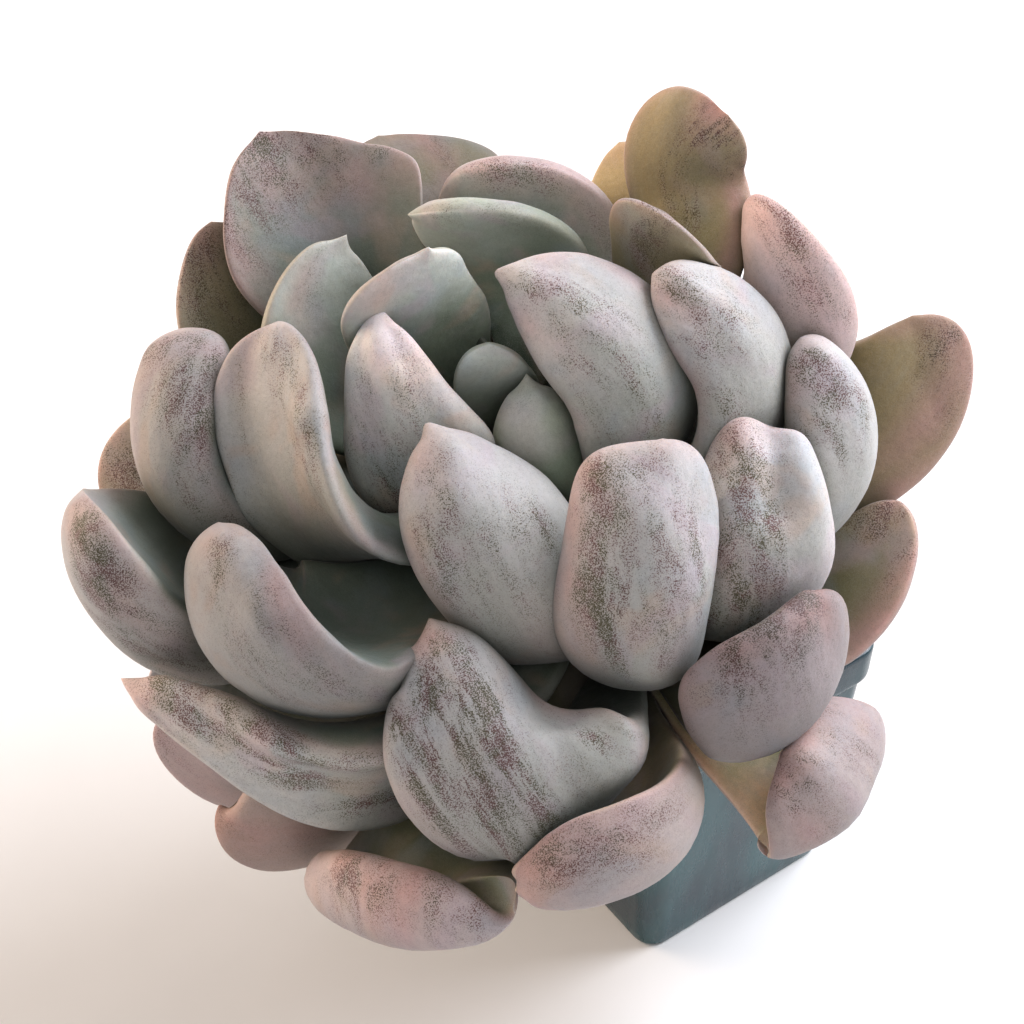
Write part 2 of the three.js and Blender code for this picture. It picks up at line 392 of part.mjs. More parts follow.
// ---- leaves -------------------------------------------------------------
const taken = [stemClear, solid(loft([
  squareRing(POT_BASE_SIDE - 1.6, POT_CORNER, -1),
  squareRing(POT_SHOULDER_SIDE + 2 * GAP, POT_CORNER, POT_SHOULDER_Z),
  squareRing(POT_LIP_SIDE + 0.4 + 2 * GAP, POT_CORNER + 1, POT_SHOULDER_Z + 0.7),
  squareRing(POT_LIP_SIDE + 0.4 + 2 * GAP, POT_CORNER + 1, POT_HEIGHT + GAP),
]))];
for (const row of LEAVES) {
  let body = leafSolid(row, 0);
  const box = body.boundingBox();
  for (const other of taken) {
    const b = other.boundingBox();
    if ([0, 1, 2].every((k) => b.min[k] < box.max[k] && b.max[k] > box.min[k])) body = body.subtract(other);
  }
  body = largest(body.simplify(0.1));
  const shade = new THREE.Color(row[row.length - 1]);
  plant.add(toMesh(row[0], body, new THREE.MeshStandardMaterial({ color: shade, roughness: 0.72, metalness: 0 })));
  taken.push(leafSolid(row, GAP), leafSolid(row, 0));
}

export default plant;
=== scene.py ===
import bpy, bmesh, math
import numpy as np
from mathutils import Vector, Matrix, noise
from mathutils.bvhtree import BVHTree


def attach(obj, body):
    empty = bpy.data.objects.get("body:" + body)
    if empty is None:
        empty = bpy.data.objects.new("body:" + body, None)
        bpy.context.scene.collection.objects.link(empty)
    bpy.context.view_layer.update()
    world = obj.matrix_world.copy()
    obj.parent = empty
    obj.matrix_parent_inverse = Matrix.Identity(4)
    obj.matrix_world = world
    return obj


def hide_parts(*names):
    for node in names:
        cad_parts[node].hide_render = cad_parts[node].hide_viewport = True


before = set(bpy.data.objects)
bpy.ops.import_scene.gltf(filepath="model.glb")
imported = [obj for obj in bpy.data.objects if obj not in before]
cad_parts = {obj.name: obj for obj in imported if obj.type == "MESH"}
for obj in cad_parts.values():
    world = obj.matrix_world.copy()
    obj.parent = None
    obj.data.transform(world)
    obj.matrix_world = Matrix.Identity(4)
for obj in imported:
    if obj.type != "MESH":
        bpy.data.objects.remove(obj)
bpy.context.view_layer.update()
rng = np.random.RandomState(11)
MM = 0.001

# ------------------------------------------------------------------ camera
CAM = np.array([-0.1790, -0.1969, 0.3250])
YAW = math.radians(-35.4)
PITCH = math.radians(42.0)
FOCAL_PX = 2000.0
cam_data = bpy.data.cameras.new("camera")
cam_data.sensor_width = 36.0
cam_data.lens = FOCAL_PX / 1024 * 36.0
cam_data.clip_start = 0.01
cam_data.clip_end = 20
cam = bpy.data.objects.new("camera", cam_data)
bpy.context.scene.collection.objects.link(cam)
cam.location = CAM
cam.rotation_euler = (math.radians(90) - PITCH, 0, YAW)
bpy.context.scene.camera = cam
RIGHT = np.array([math.cos(YAW), math.sin(YAW), 0])
AHEAD = np.array([-math.sin(YAW) * math.cos(PITCH), math.cos(YAW) * math.cos(PITCH), -math.sin(PITCH)])
UPWARD = np.cross(RIGHT, AHEAD)


def view_ray(px, py):
    d = AHEAD + RIGHT * (px - 512) / FOCAL_PX + UPWARD * (512 - py) / FOCAL_PX
    return d / np.linalg.norm(d)


def turned(x, y, z):
    """A point given with X to the right and Y away from the camera, in metres."""
    c, s = math.cos(YAW), math.sin(YAW)
    return Vector((x * c - y * s, x * s + y * c, z))


# ------------------------------------------------------------------ plant table
FOOT = np.array([-8.37, -1.42, 55.00]) * MM
CROWN = np.array([-22.63, 28.23, 108.00]) * MM
AXIS = (CROWN - FOOT) / np.linalg.norm(CROWN - FOOT)
# name, foot height on the stem, three control points, roll at foot and tip, half width, widest place, roundness, half thickness, cup, four left and four right edge factors
LEAVES = [
    ("leaf_01", 61.69, -25.03, 50.01, 114.29, -34.39, 66.58, 117.41, -38.69, 76.49, 138.64, -1.197, -0.091, 15.933, 0.646, 1.828, 3.494, 0.3, -0.107, 0.181, 0.11, -0.107, 0.079, 0.068, 0.183, -0.011),
    ("leaf_02", 61.1, -13.38, 37.84, 96.18, -37.33, 37.67, 111.55, -33.51, 32.12, 138.06, -0.798, -0.309, 12.332, 0.637, 2.84, 2.325, -0.084, 0.08, -0.033, -0.152, -0.013, 0.023, 0.05, 0.198, -0.035),
    ("leaf_03", 60.33, -4.23, 34.05, 108.78, -6.02, 36.63, 125.93, -26.82, 45.38, 135.71, 1.128, 0.115, 12.781, 0.538, 2.265, 3.547, 0.037, 0.003, 0.041, -0.006, 0.038, 0.032, -0.028, -0.004, -0.044),
    ("leaf_04", 59.51, -25.63, 54.5, 102.47, -51.89, 61.24, 94.61, -50.06, 76.79, 124.55, -0.742, -0.417, 14.281, 0.624, 2.082, 3.751, 0.193, -0.009, -0.047, 0.015, 0.018, -0.06, 0.029, 0.141, -0.089),
    ("leaf_05", 59.29, -38.75, 32.79, 94.27, -53.5, 51.01, 109.07, -36.35, 54.9, 128.2, -0.49, -1.201, 12.522, 0.595, 2.492, 3.552, 0.17, 0.02, -0.036, 0.076, -0.003, 0.026, 0.135, 0.004, -0.113),
    ("leaf_06", 57.37, -48.18, 36.42, 93.35, -82.46, 31.59, 81.4, -66.13, 62.41, 116.14, -1.402, 0.467, 8.987, 0.756, 2.873, 8.115, 0.08, 0.046, -0.106, -0.253, -0.339, -0.089, -0.1, 0.081, 0.035),
    ("leaf_07", 55.05, -15.4, 62.64, 108.88, -17.18, 25.11, 95.22, -10.83, 80.04, 127.44, -0.53, 0.57, 15.41, 0.707, 2.759, 4.203, 0.092, 0.029, -0.03, 0.167, 0.088, 0.011, -0.065, 0.025, -0.016),
    ("leaf_08", 53.25, -11.57, 31.3, 90.03, -28.65, 23.35, 102.59, -27.82, 22.17, 122.77, -0.03, -0.63, 7.983, 0.654, 2.415, 3.046, 0.141, 0.057, 0.017, -0.035, -0.07, 0.034, -0.094, -0.11, -0.016),
    ("leaf_09", 51.59, -58.59, 6.2, 92.77, -67.14, 27.98, 98.03, -54.34, 45.92, 123.82, -0.285, 0.511, 14.41, 0.593, 2.619, 3.848, -0.388, 0.001, -0.069, -0.027, -0.017, -0.036, -0.042, -0.071, 0.042),
    ("leaf_10", 51.52, 30.84, 9.18, 140.89, 10.97, 36.72, 126.29, 18.99, 19.73, 151.44, 0.214, 1.168, 12.492, 0.713, 2.838, 2.551, -0.138, -0.012, -0.055, -0.133, 0.002, -0.052, -0.09, 0.036, 0.055),
    ("leaf_11", 51.04, -11.89, 30.43, 92.02, -18.04, 42.29, 87.91, -8.91, 46.43, 97.78, 0.055, -0.012, 7.624, 0.615, 2.626, 4.593, 0.164, -0.004, 0.003, 0.002, 0.001, -0.001, -0.009, -0.003, -0.003),
    ("leaf_12", 51.01, -36.48, 50.48, 89.77, -69.0, 52.63, 77.59, -69.79, 67.78, 99.26, -0.466, -1.09, 15.074, 0.794, 2.995, 4.498, 0.051, 0.054, -0.053, -0.061, 0.013, -0.008, -0.081, 0.186, 0.087),
    ("leaf_13", 49.89, 1.49, 35.55, 105.17, 15.59, 39.42, 128.15, -14.89, 55.83, 129.05, 0.167, 0.892, 10.89, 0.694, 2.433, 4.498, 0.122, 0.098, 0.054, -0.051, -0.043, -0.054, -0.101, 0.062, -0.02),
    ("leaf_14", 49.84, 5.54, 5.43, 106.91, 9.16, 27.38, 117.39, 0.78, 13.75, 141.91, 0.277, 0.723, 11.797, 0.696, 2.898, 2.436, -0.032, 0.117, -0.039, 0.097, 0.005, -0.002, -0.029, -0.101, 0.015),
    ("leaf_15", 48.61, -15.15, 8.73, 97.31, -28.54, 6.66, 97.81, -23.87, 16.66, 116.24, -0.343, 0.173, 7.845, 0.587, 2.377, 4.728, 0.163, 0.018, 0.042, 0.017, -0.076, -0.022, -0.031, 0.029, 0.003),
    ("leaf_16", 46.8, -62.82, 38.31, 79.14, -90.44, 18.55, 66.06, -89.93, 50.04, 99.09, 0.317, -0.288, 12.43, 0.805, 2.996, 8.109, 0.391, -0.204, -0.14, 0.215, 0.351, -0.18, -0.398, -0.102, 0.344),
    ("leaf_17", 40.46, 1.16, 32.4, 92.18, 18.68, 30.73, 116.43, 16.0, 44.11, 134.93, -0.052, 0.131, 12.887, 0.618, 2.291, 4.232, 0.132, 0, 0.07, -0.004, 0.024, 0.009, -0.021, -0.044, 0.012),
    ("leaf_18", 39.9, -32.56, 18.36, 81.96, -51.37, 17.04, 107.44, -41.94, 33.9, 126.89, 0.668, 0.681, 11.76, 0.52, 2.09, 2.821, 0.001, 0.085, 0.098, -0.178, 0.028, -0.088, 0.189, -0.049, -0.037),
    ("leaf_19", 37.37, 32.55, -5.8, 98.45, 16.14, 0.64, 133.96, 22.96, 15.24, 132.53, 0.621, -3.105, 11.885, 0.689, 2.78, 4.55, 0.224, -0.142, -0.01, -0.12, -0.072, -0.026, 0.028, 0.048, 0.033),
    ("leaf_20", 36.11, -27.94, -11.29, 78.9, -42.43, -20.12, 86.0, -45.35, 13.33, 118.24, -0.34, 0.862, 13.451, 0.498, 2.683, 5.442, 0.222, 0.025, 0.015, 0.093, 0.075, 0.063, 0.026, 0.145, -0.053),
    ("leaf_21", 35.88, -55.0, 8.16, 79.16, -86.41, 4.09, 78.39, -78.14, 27.95, 104.72, -0.646, -0.362, 16.465, 0.617, 2.565, 7.781, 0.493, -0.207, -0.055, 0.019, -0.067, -0.154, 0.187, -0.001, 0.03),
    ("leaf_22", 35.25, -10.57, 32.22, 78.76, -5.25, 51.0, 80.83, -8.75, 67.73, 88.86, 0.011, -0.051, 11.353, 0.621, 2.6, 4.655, 0.161, 0.003, 0.001, 0.001, -0.002, 0.001, -0.003, 0.001, 0.001),
    ("leaf_23", 34.12, -9.11, -4.57, 105.2, -4.37, 1.86, 125.95, -21.67, 25.95, 132.05, -0.325, -0.692, 12.228, 0.523, 2.108, 4.881, 0.076, 0.053, 0.01, 0.11, -0.032, 0.016, 0.009, 0.071, -0.061),
    ("leaf_24", 33.51, -3.26, -9.27, 97.36, 18.12, -14.32, 115.88, -3.12, 10.02, 133.81, -0.449, -0.621, 10.554, 0.609, 2.609, 4.167, 0.07, -0.03, -0.015, 0.001, 0.001, 0.029, -0.03, 0.021, -0.037),
    ("leaf_25", 32.38, -3.11, 28.24, 74.95, 10.67, 43.0, 78.98, 16.66, 58.2, 90.92, -0.113, -0.07, 11.656, 0.623, 2.6, 4.649, 0.159, -0.002, 0.002, -0.001, -0.002, -0.001, 0.002, -0.001, 0.001),
    ("leaf_26", 32.16, 4.17, 14.84, 81.53, 22.06, 25.04, 83.21, 34.06, 38.79, 91.09, -0.215, -0.115, 11.519, 0.624, 2.577, 4.599, 0.151, 0.002, -0.002, 0.003, -0.002, -0.001, 0, -0.002, 0.001),
    ("leaf_27", 31.04, -22.1, 28.45, 71.71, -29.74, 46.35, 71.69, -35.8, 61.21, 82.09, 0.027, 0.016, 11.374, 0.621, 2.609, 4.707, 0.159, -0.002, -0.002, 0, 0, 0, 0.001, -0.001, 0.001),
    ("leaf_28", 28.3, -30.68, 16.96, 69.67, -44.06, 31.26, 66.24, -56.59, 44.26, 72.54, 0.079, -0.161, 11.232, 0.623, 2.6, 4.602, 0.149, 0.002, -0.002, 0, 0.002, 0.002, 0, -0.009, -0.002),
    ("leaf_29", 28.05, -7.55, -19.79, 76.4, -2.2, -38.82, 85.81, -1.4, -10.91, 115.06, -0.096, -0.823, 11.706, 0.693, 2.749, 4.297, 0.098, -0.021, 0.031, 0.006, 0.012, -0.051, 0.005, -0.081, 0.058),
    ("leaf_30", 27.59, -57.13, 4.8, 55.95, -86.02, 20.49, 45.76, -84.73, 27.2, 68.08, 0.163, 1, 14.645, 0.758, 3.194, 2.021, -0.138, -0.002, 0.002, 0.151, 0.092, -0.083, -0.048, -0.126, 0.005),
    ("leaf_31", 27.28, 4.57, -18.81, 88.85, 23.46, -25.98, 98.49, 15.02, -6.79, 123.08, 0.033, -0.502, 10.908, 0.631, 2.567, 5.243, 0.247, -0.068, -0.045, 0.006, -0.063, -0.011, 0.004, -0.074, -0.034),
    ("leaf_32", 26.61, -49.19, -14.47, 70.2, -82.19, -0.66, 64.33, -97.56, 28.4, 77.88, -0.126, 1.332, 13.314, 0.547, 1.068, 5.163, -0.557, 0.002, 0.118, -0.295, -0.206, 0.015, -0.076, -0.029, -0.059),
    ("leaf_33", 25.07, 9.84, 6.83, 82.3, 39.07, -18.04, 96.94, 39.99, -8.29, 117.21, 0.31, 1.436, 14.894, 0.692, 2.356, 4.615, -0.026, -0.069, 0.009, -0.016, -0.009, -0.037, -0.036, -0.075, -0.025),
    ("leaf_34", 25.05, 4.72, 14.76, 71.72, 25.26, 13.41, 76.66, 42.12, 14.86, 88.27, 0.338, 0.098, 11.603, 0.623, 2.599, 4.594, 0.159, -0.009, 0, -0.002, -0.002, 0, 0.002, 0.001, 0),
    ("leaf_35", 23.55, -22.08, -25.23, 75.26, -34.26, -29.22, 91.74, -19.17, -12.81, 121.03, 0.222, 0.255, 13.976, 0.71, 2.764, 5.86, 0.384, -0.018, 0.094, -0.055, 0.095, 0.035, -0.116, 0.012, 0.03),
    ("leaf_36", 22.36, -13.36, 26.13, 63.93, -25.0, 43.16, 61.1, -13.99, 57.59, 68.04, -0.006, 0.179, 10.995, 0.624, 2.571, 4.632, 0.176, 0, 0.002, -0.001, 0, 0, 0.008, -0.01, -0.002),
    ("leaf_37", 21.82, 5.37, -2.9, 72.77, 26.39, 3.35, 70.47, 36.34, -15.67, 78.47, -0.264, 0.463, 10.831, 0.628, 2.599, 4.53, 0.161, 0.011, -0.018, -0.014, -0.002, 0, 0.004, 0.006, 0),
    ("leaf_38", 20.57, -71.51, 4.92, 37.47, -96.17, 12.79, 59.13, -88.32, 18.2, 53.8, 0.5, 1.324, 13.544, 0.684, 2.835, 3.752, -0.126, 0.042, -0.074, 0.14, 0.01, -0.04, -0.122, -0.137, -0.019),
    ("leaf_39", 20.52, -39.06, 26.33, 52.78, -81.88, 46.0, 54.49, -74.66, 38.71, 61.06, 0.043, -1.213, 16.56, 0.834, 3.407, 4.406, -0.007, -0.027, -0.019, -0.015, -0.014, -0.031, -0.097, 0.101, 0.134),
    ("leaf_40", 20.24, -0.17, 20.32, 64.92, 8.42, 38.34, 63.42, 24.98, 39.74, 72.69, 0.186, 0.333, 11.119, 0.623, 2.6, 4.557, 0.156, -0.002, -0.003, 0.001, -0.004, -0.002, 0.002, 0.004, 0.001),
    ("leaf_41", 18.67, 1.68, 7.63, 60.55, 19.73, 5.77, 60.03, 33.95, -2.2, 69.24, 0.195, 0.639, 11.041, 0.62, 2.577, 4.347, 0.165, -0.003, 0, -0.004, 0.009, -0.005, 0.003, 0.013, 0.005),
    ("leaf_42", 17.17, -10.67, -40.0, 55.47, 0.64, -59.77, 56.04, -15.1, -43.91, 72.82, -0.212, 0.248, 16.216, 0.792, 2.993, 4.515, 0.245, -0.034, -0.18, -0.024, -0.041, -0.058, -0.077, 0.027, 0.017),
    ("leaf_43", 15.92, -12.17, -55.97, 75.87, -13.67, -35.91, 73.22, -14.87, -37.01, 97.74, 0.133, -0.069, 15.361, 0.827, 2.878, 4.28, 0.212, -0.04, -0.07, 0.029, 0.008, 0.046, -0.073, 0.166, 0.075),
    ("leaf_44", 13.4, 1.2, -7.15, 58.84, 15.48, -26.58, 60.61, 26.6, -23.93, 93.03, 0.139, 1.278, 10.422, 0.625, 2.481, 4.389, 0.169, 0.018, 0.075, -0.061, -0.123, -0.021, 0.019, 0.018, -0.023),
    ("leaf_45", 10.36, -53.18, -5.66, 55.16, -80.57, -27.05, 35.55, -74.11, -18.18, 60.84, -1.701, 0.431, 16.334, 0.814, 2.802, 5.795, 0.18, -0.047, 0.047, 0.309, 0.091, -0.189, -0.073, 0.341, -0.055),
    ("leaf_46", 6.3, -33.28, -22.86, 55.98, -25.22, -49.48, 71.49, -62.5, -36.18, 62.64, -0.01, 0.443, 9.1, 0.716, 2.439, 5.424, 0.46, -0.077, 0.113, 0.031, -0.053, -0.084, 0.13, 0.192, 0.029),
    ("leaf_47", 4.36, -43.66, -18.7, 74.42, -56.03, -48.14, 60.5, -56.66, -2.94, 93.76, -0.227, 0.775, 12.756, 0.607, 2.386, 5.345, 0.075, -0.227, 0.363, 0.491, 0.169, 0.131, 0.45, -0.042, -0.179),
]


FULL = 0.84  # below 1 the leaf section is fuller than an ellipse


def smooth(x):
    x = np.clip(x, 0, 1)
    return x * x * (3 - 2 * x)


def leaf_grid(row, nu, nt):
    """Rings of a leaf from foot to tip, with the unrolled place of each point."""
    p = np.array(row[1:], float)
    p0 = FOOT / MM + AXIS * p[0]
    b = [p0] + [p[k:k + 3] for k in (1, 4, 7)]
    t = np.linspace(0, 1, 241)[:, None]
    q = 1 - t
    curve = q ** 3 * b[0] + 3 * q * q * t * b[1] + 3 * q * t * t * b[2] + t ** 3 * b[3]
    tang = q * q * (b[1] - b[0]) + 2 * q * t * (b[2] - b[1]) + t * t * (b[3] - b[2])
    tang /= np.linalg.norm(tang, axis=1)[:, None]
    s = np.r_[0, np.cumsum(np.linalg.norm(np.diff(curve, axis=0), axis=1))]
    length = s[-1]
    s /= length
    u = 1 - (1 - np.arange(nu + 1) / nu) ** 1.9
    c = np.stack([np.interp(u, s, curve[:, k]) for k in range(3)], 1)
    T = np.stack([np.interp(u, s, tang[:, k]) for k in range(3)], 1)
    T /= np.linalg.norm(T, axis=1)[:, None]
    mid = (b[1] + b[2]) / 2 - p0
    r = mid - mid.dot(AXIS) * AXIS
    r /= np.linalg.norm(r)
    across = np.cross(AXIS, r)
    B = across - (T @ across)[:, None] * T
    B /= np.linalg.norm(B, axis=1)[:, None]
    N = np.cross(T, B)
    roll = (p[10] + (p[11] - p[10]) * u)[:, None]
    B2 = np.cos(roll) * B + np.sin(roll) * N
    N2 = np.cos(roll) * N - np.sin(roll) * B
    W, tm, pp, Th, cup = p[12:17]
    tm = min(tm, 0.86)
    wf = np.where(u < tm, 0.3 + 0.7 * smooth(u / tm), np.sqrt(np.clip(1 - np.clip((u - tm) / (1 - tm), 0, 1) ** pp, 0, 1)))
    left = 1
    right = 1
    for k, knot in enumerate([0.35, 0.6, 0.82, 0.97]):
        e = np.exp(-((u - knot) / 0.16) ** 2)
        left = left + p[17 + k] * e
        right = right + p[21 + k] * e
    hf = np.where(u < 0.55, 0.42 + 0.58 * smooth(u / 0.55), np.sqrt(np.clip(1 - np.clip((u - 0.55) / 0.45, 0, 1) ** 3, 0, 1)))
    a = 2 * np.pi * np.arange(nt) / nt
    co, si = np.cos(a)[None], np.sin(a)[None]
    co, si = np.sign(co) * np.abs(co) ** FULL, np.sign(si) * np.abs(si) ** FULL
    w = np.where(co > 0, (W * wf * right)[:, None], (W * wf * left)[:, None])
    h = (Th * hf)[:, None]
    x = w * co
    y = (cup * smooth(u / 0.35))[:, None] * w * co ** 2 + np.where(si > 0, h * 0.65 * si, h * 1.35 * si)
    V = c[:, None] + B2[:, None] * x[..., None] + N2[:, None] * y[..., None]
    U = np.repeat(u[:, None], nt, 1)
    unrolled = np.stack([U * length, x, y], -1)
    return {"V": V * MM, "u": U, "co": np.repeat(co, nu + 1, 0), "si": np.repeat(si, nu + 1, 0), "unrolled": unrolled * MM,
            "T": T, "B": B2, "N": N2, "C": c * MM, "length": length * MM, "half": W * MM}


def grid_faces(nu, nt):
    """Quads between the rings, a fan at the tip and one at the foot. Vertex order: rings 0..nu-1, then the tip, then the foot."""
    faces = []
    for i in range(nu - 1):
        for k in range(nt):
            k2 = (k + 1) % nt
            faces.append((i * nt + k, i * nt + k2, (i + 1) * nt + k2, (i + 1) * nt + k))
    tip, foot = nu * nt, nu * nt + 1
    for k in range(nt):
        k2 = (k + 1) % nt
        faces.append(((nu - 1) * nt + k, (nu - 1) * nt + k2, tip))
        faces.append((k2, k, foot))
    return faces


NU, NT = ((64, 44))
FACES = grid_faces(NU, NT)

# ------------------------------------------------------------------ leaf shapes
# Sharp leaf tips: length and width in mm. Every other seen leaf has a blunt end with a small nub.
TIPS = {"leaf_01": (0.9, 3.0), "leaf_20": (2.0, 3.0), "leaf_47": (1.7, 3.4), "leaf_32": (2.4, 3.2), "leaf_18": (2.6, 3.2), "leaf_11": (2.2, 3.2), "leaf_05": (2.0, 2.8), "leaf_02": (1.6, 2.6), "leaf_23": (2.4, 3.2), "leaf_15": (1.9, 2.8), "leaf_03": (1.6, 2.8)}
BLUNT = {"leaf_21": (0.35, 2.5), "leaf_16": (0.7, 3.0), "leaf_09": (0.5, 2.4), "leaf_06": (0.4, 2.5), "leaf_24": (0.5, 2.5), "leaf_31": (0.2, 2.0), "leaf_42": (0.3, 2.0), "leaf_08": (0.5, 2.2), "leaf_35": (0.0, 2.0), "leaf_29": (0.0, 2.0), "leaf_43": (0.0, 2.0), "leaf_46": (0.0, 2.0), "leaf_45": (0.2, 2.0), "leaf_38": (0.6, 2.6), "leaf_30": (0.2, 2.0)}
ROUNDED = {"leaf_35": 2, "leaf_43": 2, "leaf_42": 1}

leaves = {}
for index, row in enumerate(LEAVES):
    name = row[0]
    g = leaf_grid(row, NU, NT)
    V = g["V"].copy()
    # tip: a short soft point drawn out of the rounded end
    length, reach = TIPS.get(name, (0.4, 2.4))
    if name in BLUNT:
        length, reach = BLUNT[name]
    if name in ROUNDED:
        # a broad end with no point: the last rings settle on a soft dome
        for _ in range(ROUNDED[name]):
            rows = np.concatenate([V, 2 * V[-1:] - V[-2:-1]], 0)
            ring = (np.roll(V, 1, 1) + np.roll(V, -1, 1)) / 2
            along = np.concatenate([V[:1], (V[:-2] + V[2:]) / 2, V[-1:]], 0)
            w = smooth((g["u"] - 0.72) / 0.12)[..., None] * 0.5
            V = V * (1 - w) + (0.5 * ring + 0.5 * along) * w
    end = V[NU].mean(0)
    d = np.linalg.norm(V - end, axis=-1) / MM
    pull = length * np.clip(1 - d / reach, 0, 1) ** 2.0
    V += (g["T"][NU] * 0.93 + g["N"][NU] * 0.25)[None, None] * pull[..., None] * MM
    g["V"] = V
    g["seed"] = index * 0.531 + 0.2
    leaves[name] = g


def points_of(g):
    V = g["V"]
    return np.concatenate([V[:NU].reshape(-1, 3), V[NU].mean(0)[None], g["C"][0][None]], 0)


def flat(g, key):
    a = g[key]
    if a.ndim == 3:
        return np.concatenate([a[:NU].reshape(-1, a.shape[-1]), a[NU].mean(0)[None], a[0].mean(0)[None]], 0)
    return np.concatenate([a[:NU].reshape(-1), [a[NU].mean()], [a[0].mean()]], 0)


# Leaves press against each other and give way, instead of running through one another.
def press_apart(rounds=3, gap=0.15 * MM):
    for turn in range(rounds):
        trees, boxes = {}, {}
        for n, g in leaves.items():
            P = points_of(g)
            trees[n] = BVHTree.FromPolygons(P.tolist(), FACES)
            boxes[n] = (P.min(0), P.max(0))
        moves = {n: np.zeros_like(g["V"]) for n, g in leaves.items()}
        for n, g in leaves.items():
            V = g["V"]
            free = smooth((g["u"] - 0.22) / 0.2)
            for m in leaves:
                if m == n:
                    continue
                lo, hi = boxes[m]
                near = np.all((V > lo - gap) & (V < hi + gap), axis=-1) & (free > 0)
                if not near.any():
                    continue
                tree = trees[m]
                for i, k in zip(*np.nonzero(near)):
                    v = V[i, k]
                    co, no, _, dist = tree.find_nearest(v.tolist(), 0.012)
                    if co is None:
                        continue
                    depth = -(Vector(v.tolist()) - co).dot(no)
                    if depth > -gap:
                        push = np.array(no) * (depth + gap) * 0.52 * free[i, k]
                        if np.linalg.norm(push) > np.linalg.norm(moves[n][i, k]):
                            moves[n][i, k] = push
        for n, g in leaves.items():
            m = moves[n]
            if not m.any():
                continue
            for _ in range(3):
                ring = (np.roll(m, 1, 1) + np.roll(m, -1, 1)) / 2
                rows = np.concatenate([m[:1], m, m[-1:]], 0)
                along = (rows[:-2] + rows[2:]) / 2
                m = 0.4 * m + 0.3 * ring + 0.3 * along
            g["V"] = g["V"] + m


press_apart(4)


def normals_of(V):
    """Smooth outward directions of the ring grid."""
    around = np.roll(V, -1, 1) - np.roll(V, 1, 1)
    rows = np.concatenate([V[:1], V, V[-1:]], 0)
    along = rows[2:] - rows[:-2]
    n = np.cross(around, along)
    n /= np.maximum(np.linalg.norm(n, axis=-1, keepdims=True), 1e-12)
    return n


# Low soft swells and dents of the flesh, and the keel's height in mm.
KEELS = {"leaf_09": 0.7, "leaf_18": 0.6, "leaf_21": 0.7, "leaf_06": 0.6, "leaf_23": 0.5, "leaf_20": 0.55, "leaf_47": 0.5, "leaf_32": 0.6, "leaf_24": 0.45, "leaf_31": 0.4}
for n, g in leaves.items():
    V = g["V"]
    Nn = normals_of(V)
    un = g["unrolled"]
    seed = g["seed"] * 7.0
    amount = np.zeros(V.shape[:2])
    for i in range(NU + 1):
        for k in range(NT):
            x, y, z = un[i, k] / MM
            amount[i, k] = 0.42 * noise.noise((x / 15 + seed, y / 11, z / 11)) + 0.16 * noise.noise((x / 5 + seed, y / 4.2, z / 4.2 + 3))
    amount += KEELS.get(n, 0.35) * (np.exp(-(g["co"] / 0.26) ** 2) - 0.45 * np.exp(-((np.abs(g["co"]) - 0.55) / 0.22) ** 2)) * smooth(-g["si"] / 0.4)
    amount *= smooth(g["u"] / 0.2) * smooth((1.0 - g["u"]) / 0.06)
    if n in {"leaf_22", "leaf_25", "leaf_26", "leaf_27", "leaf_28", "leaf_34", "leaf_36", "leaf_37", "leaf_39", "leaf_40", "leaf_41"}:
        amount *= 0.8
    g["V"] = V + Nn * amount[..., None] * MM

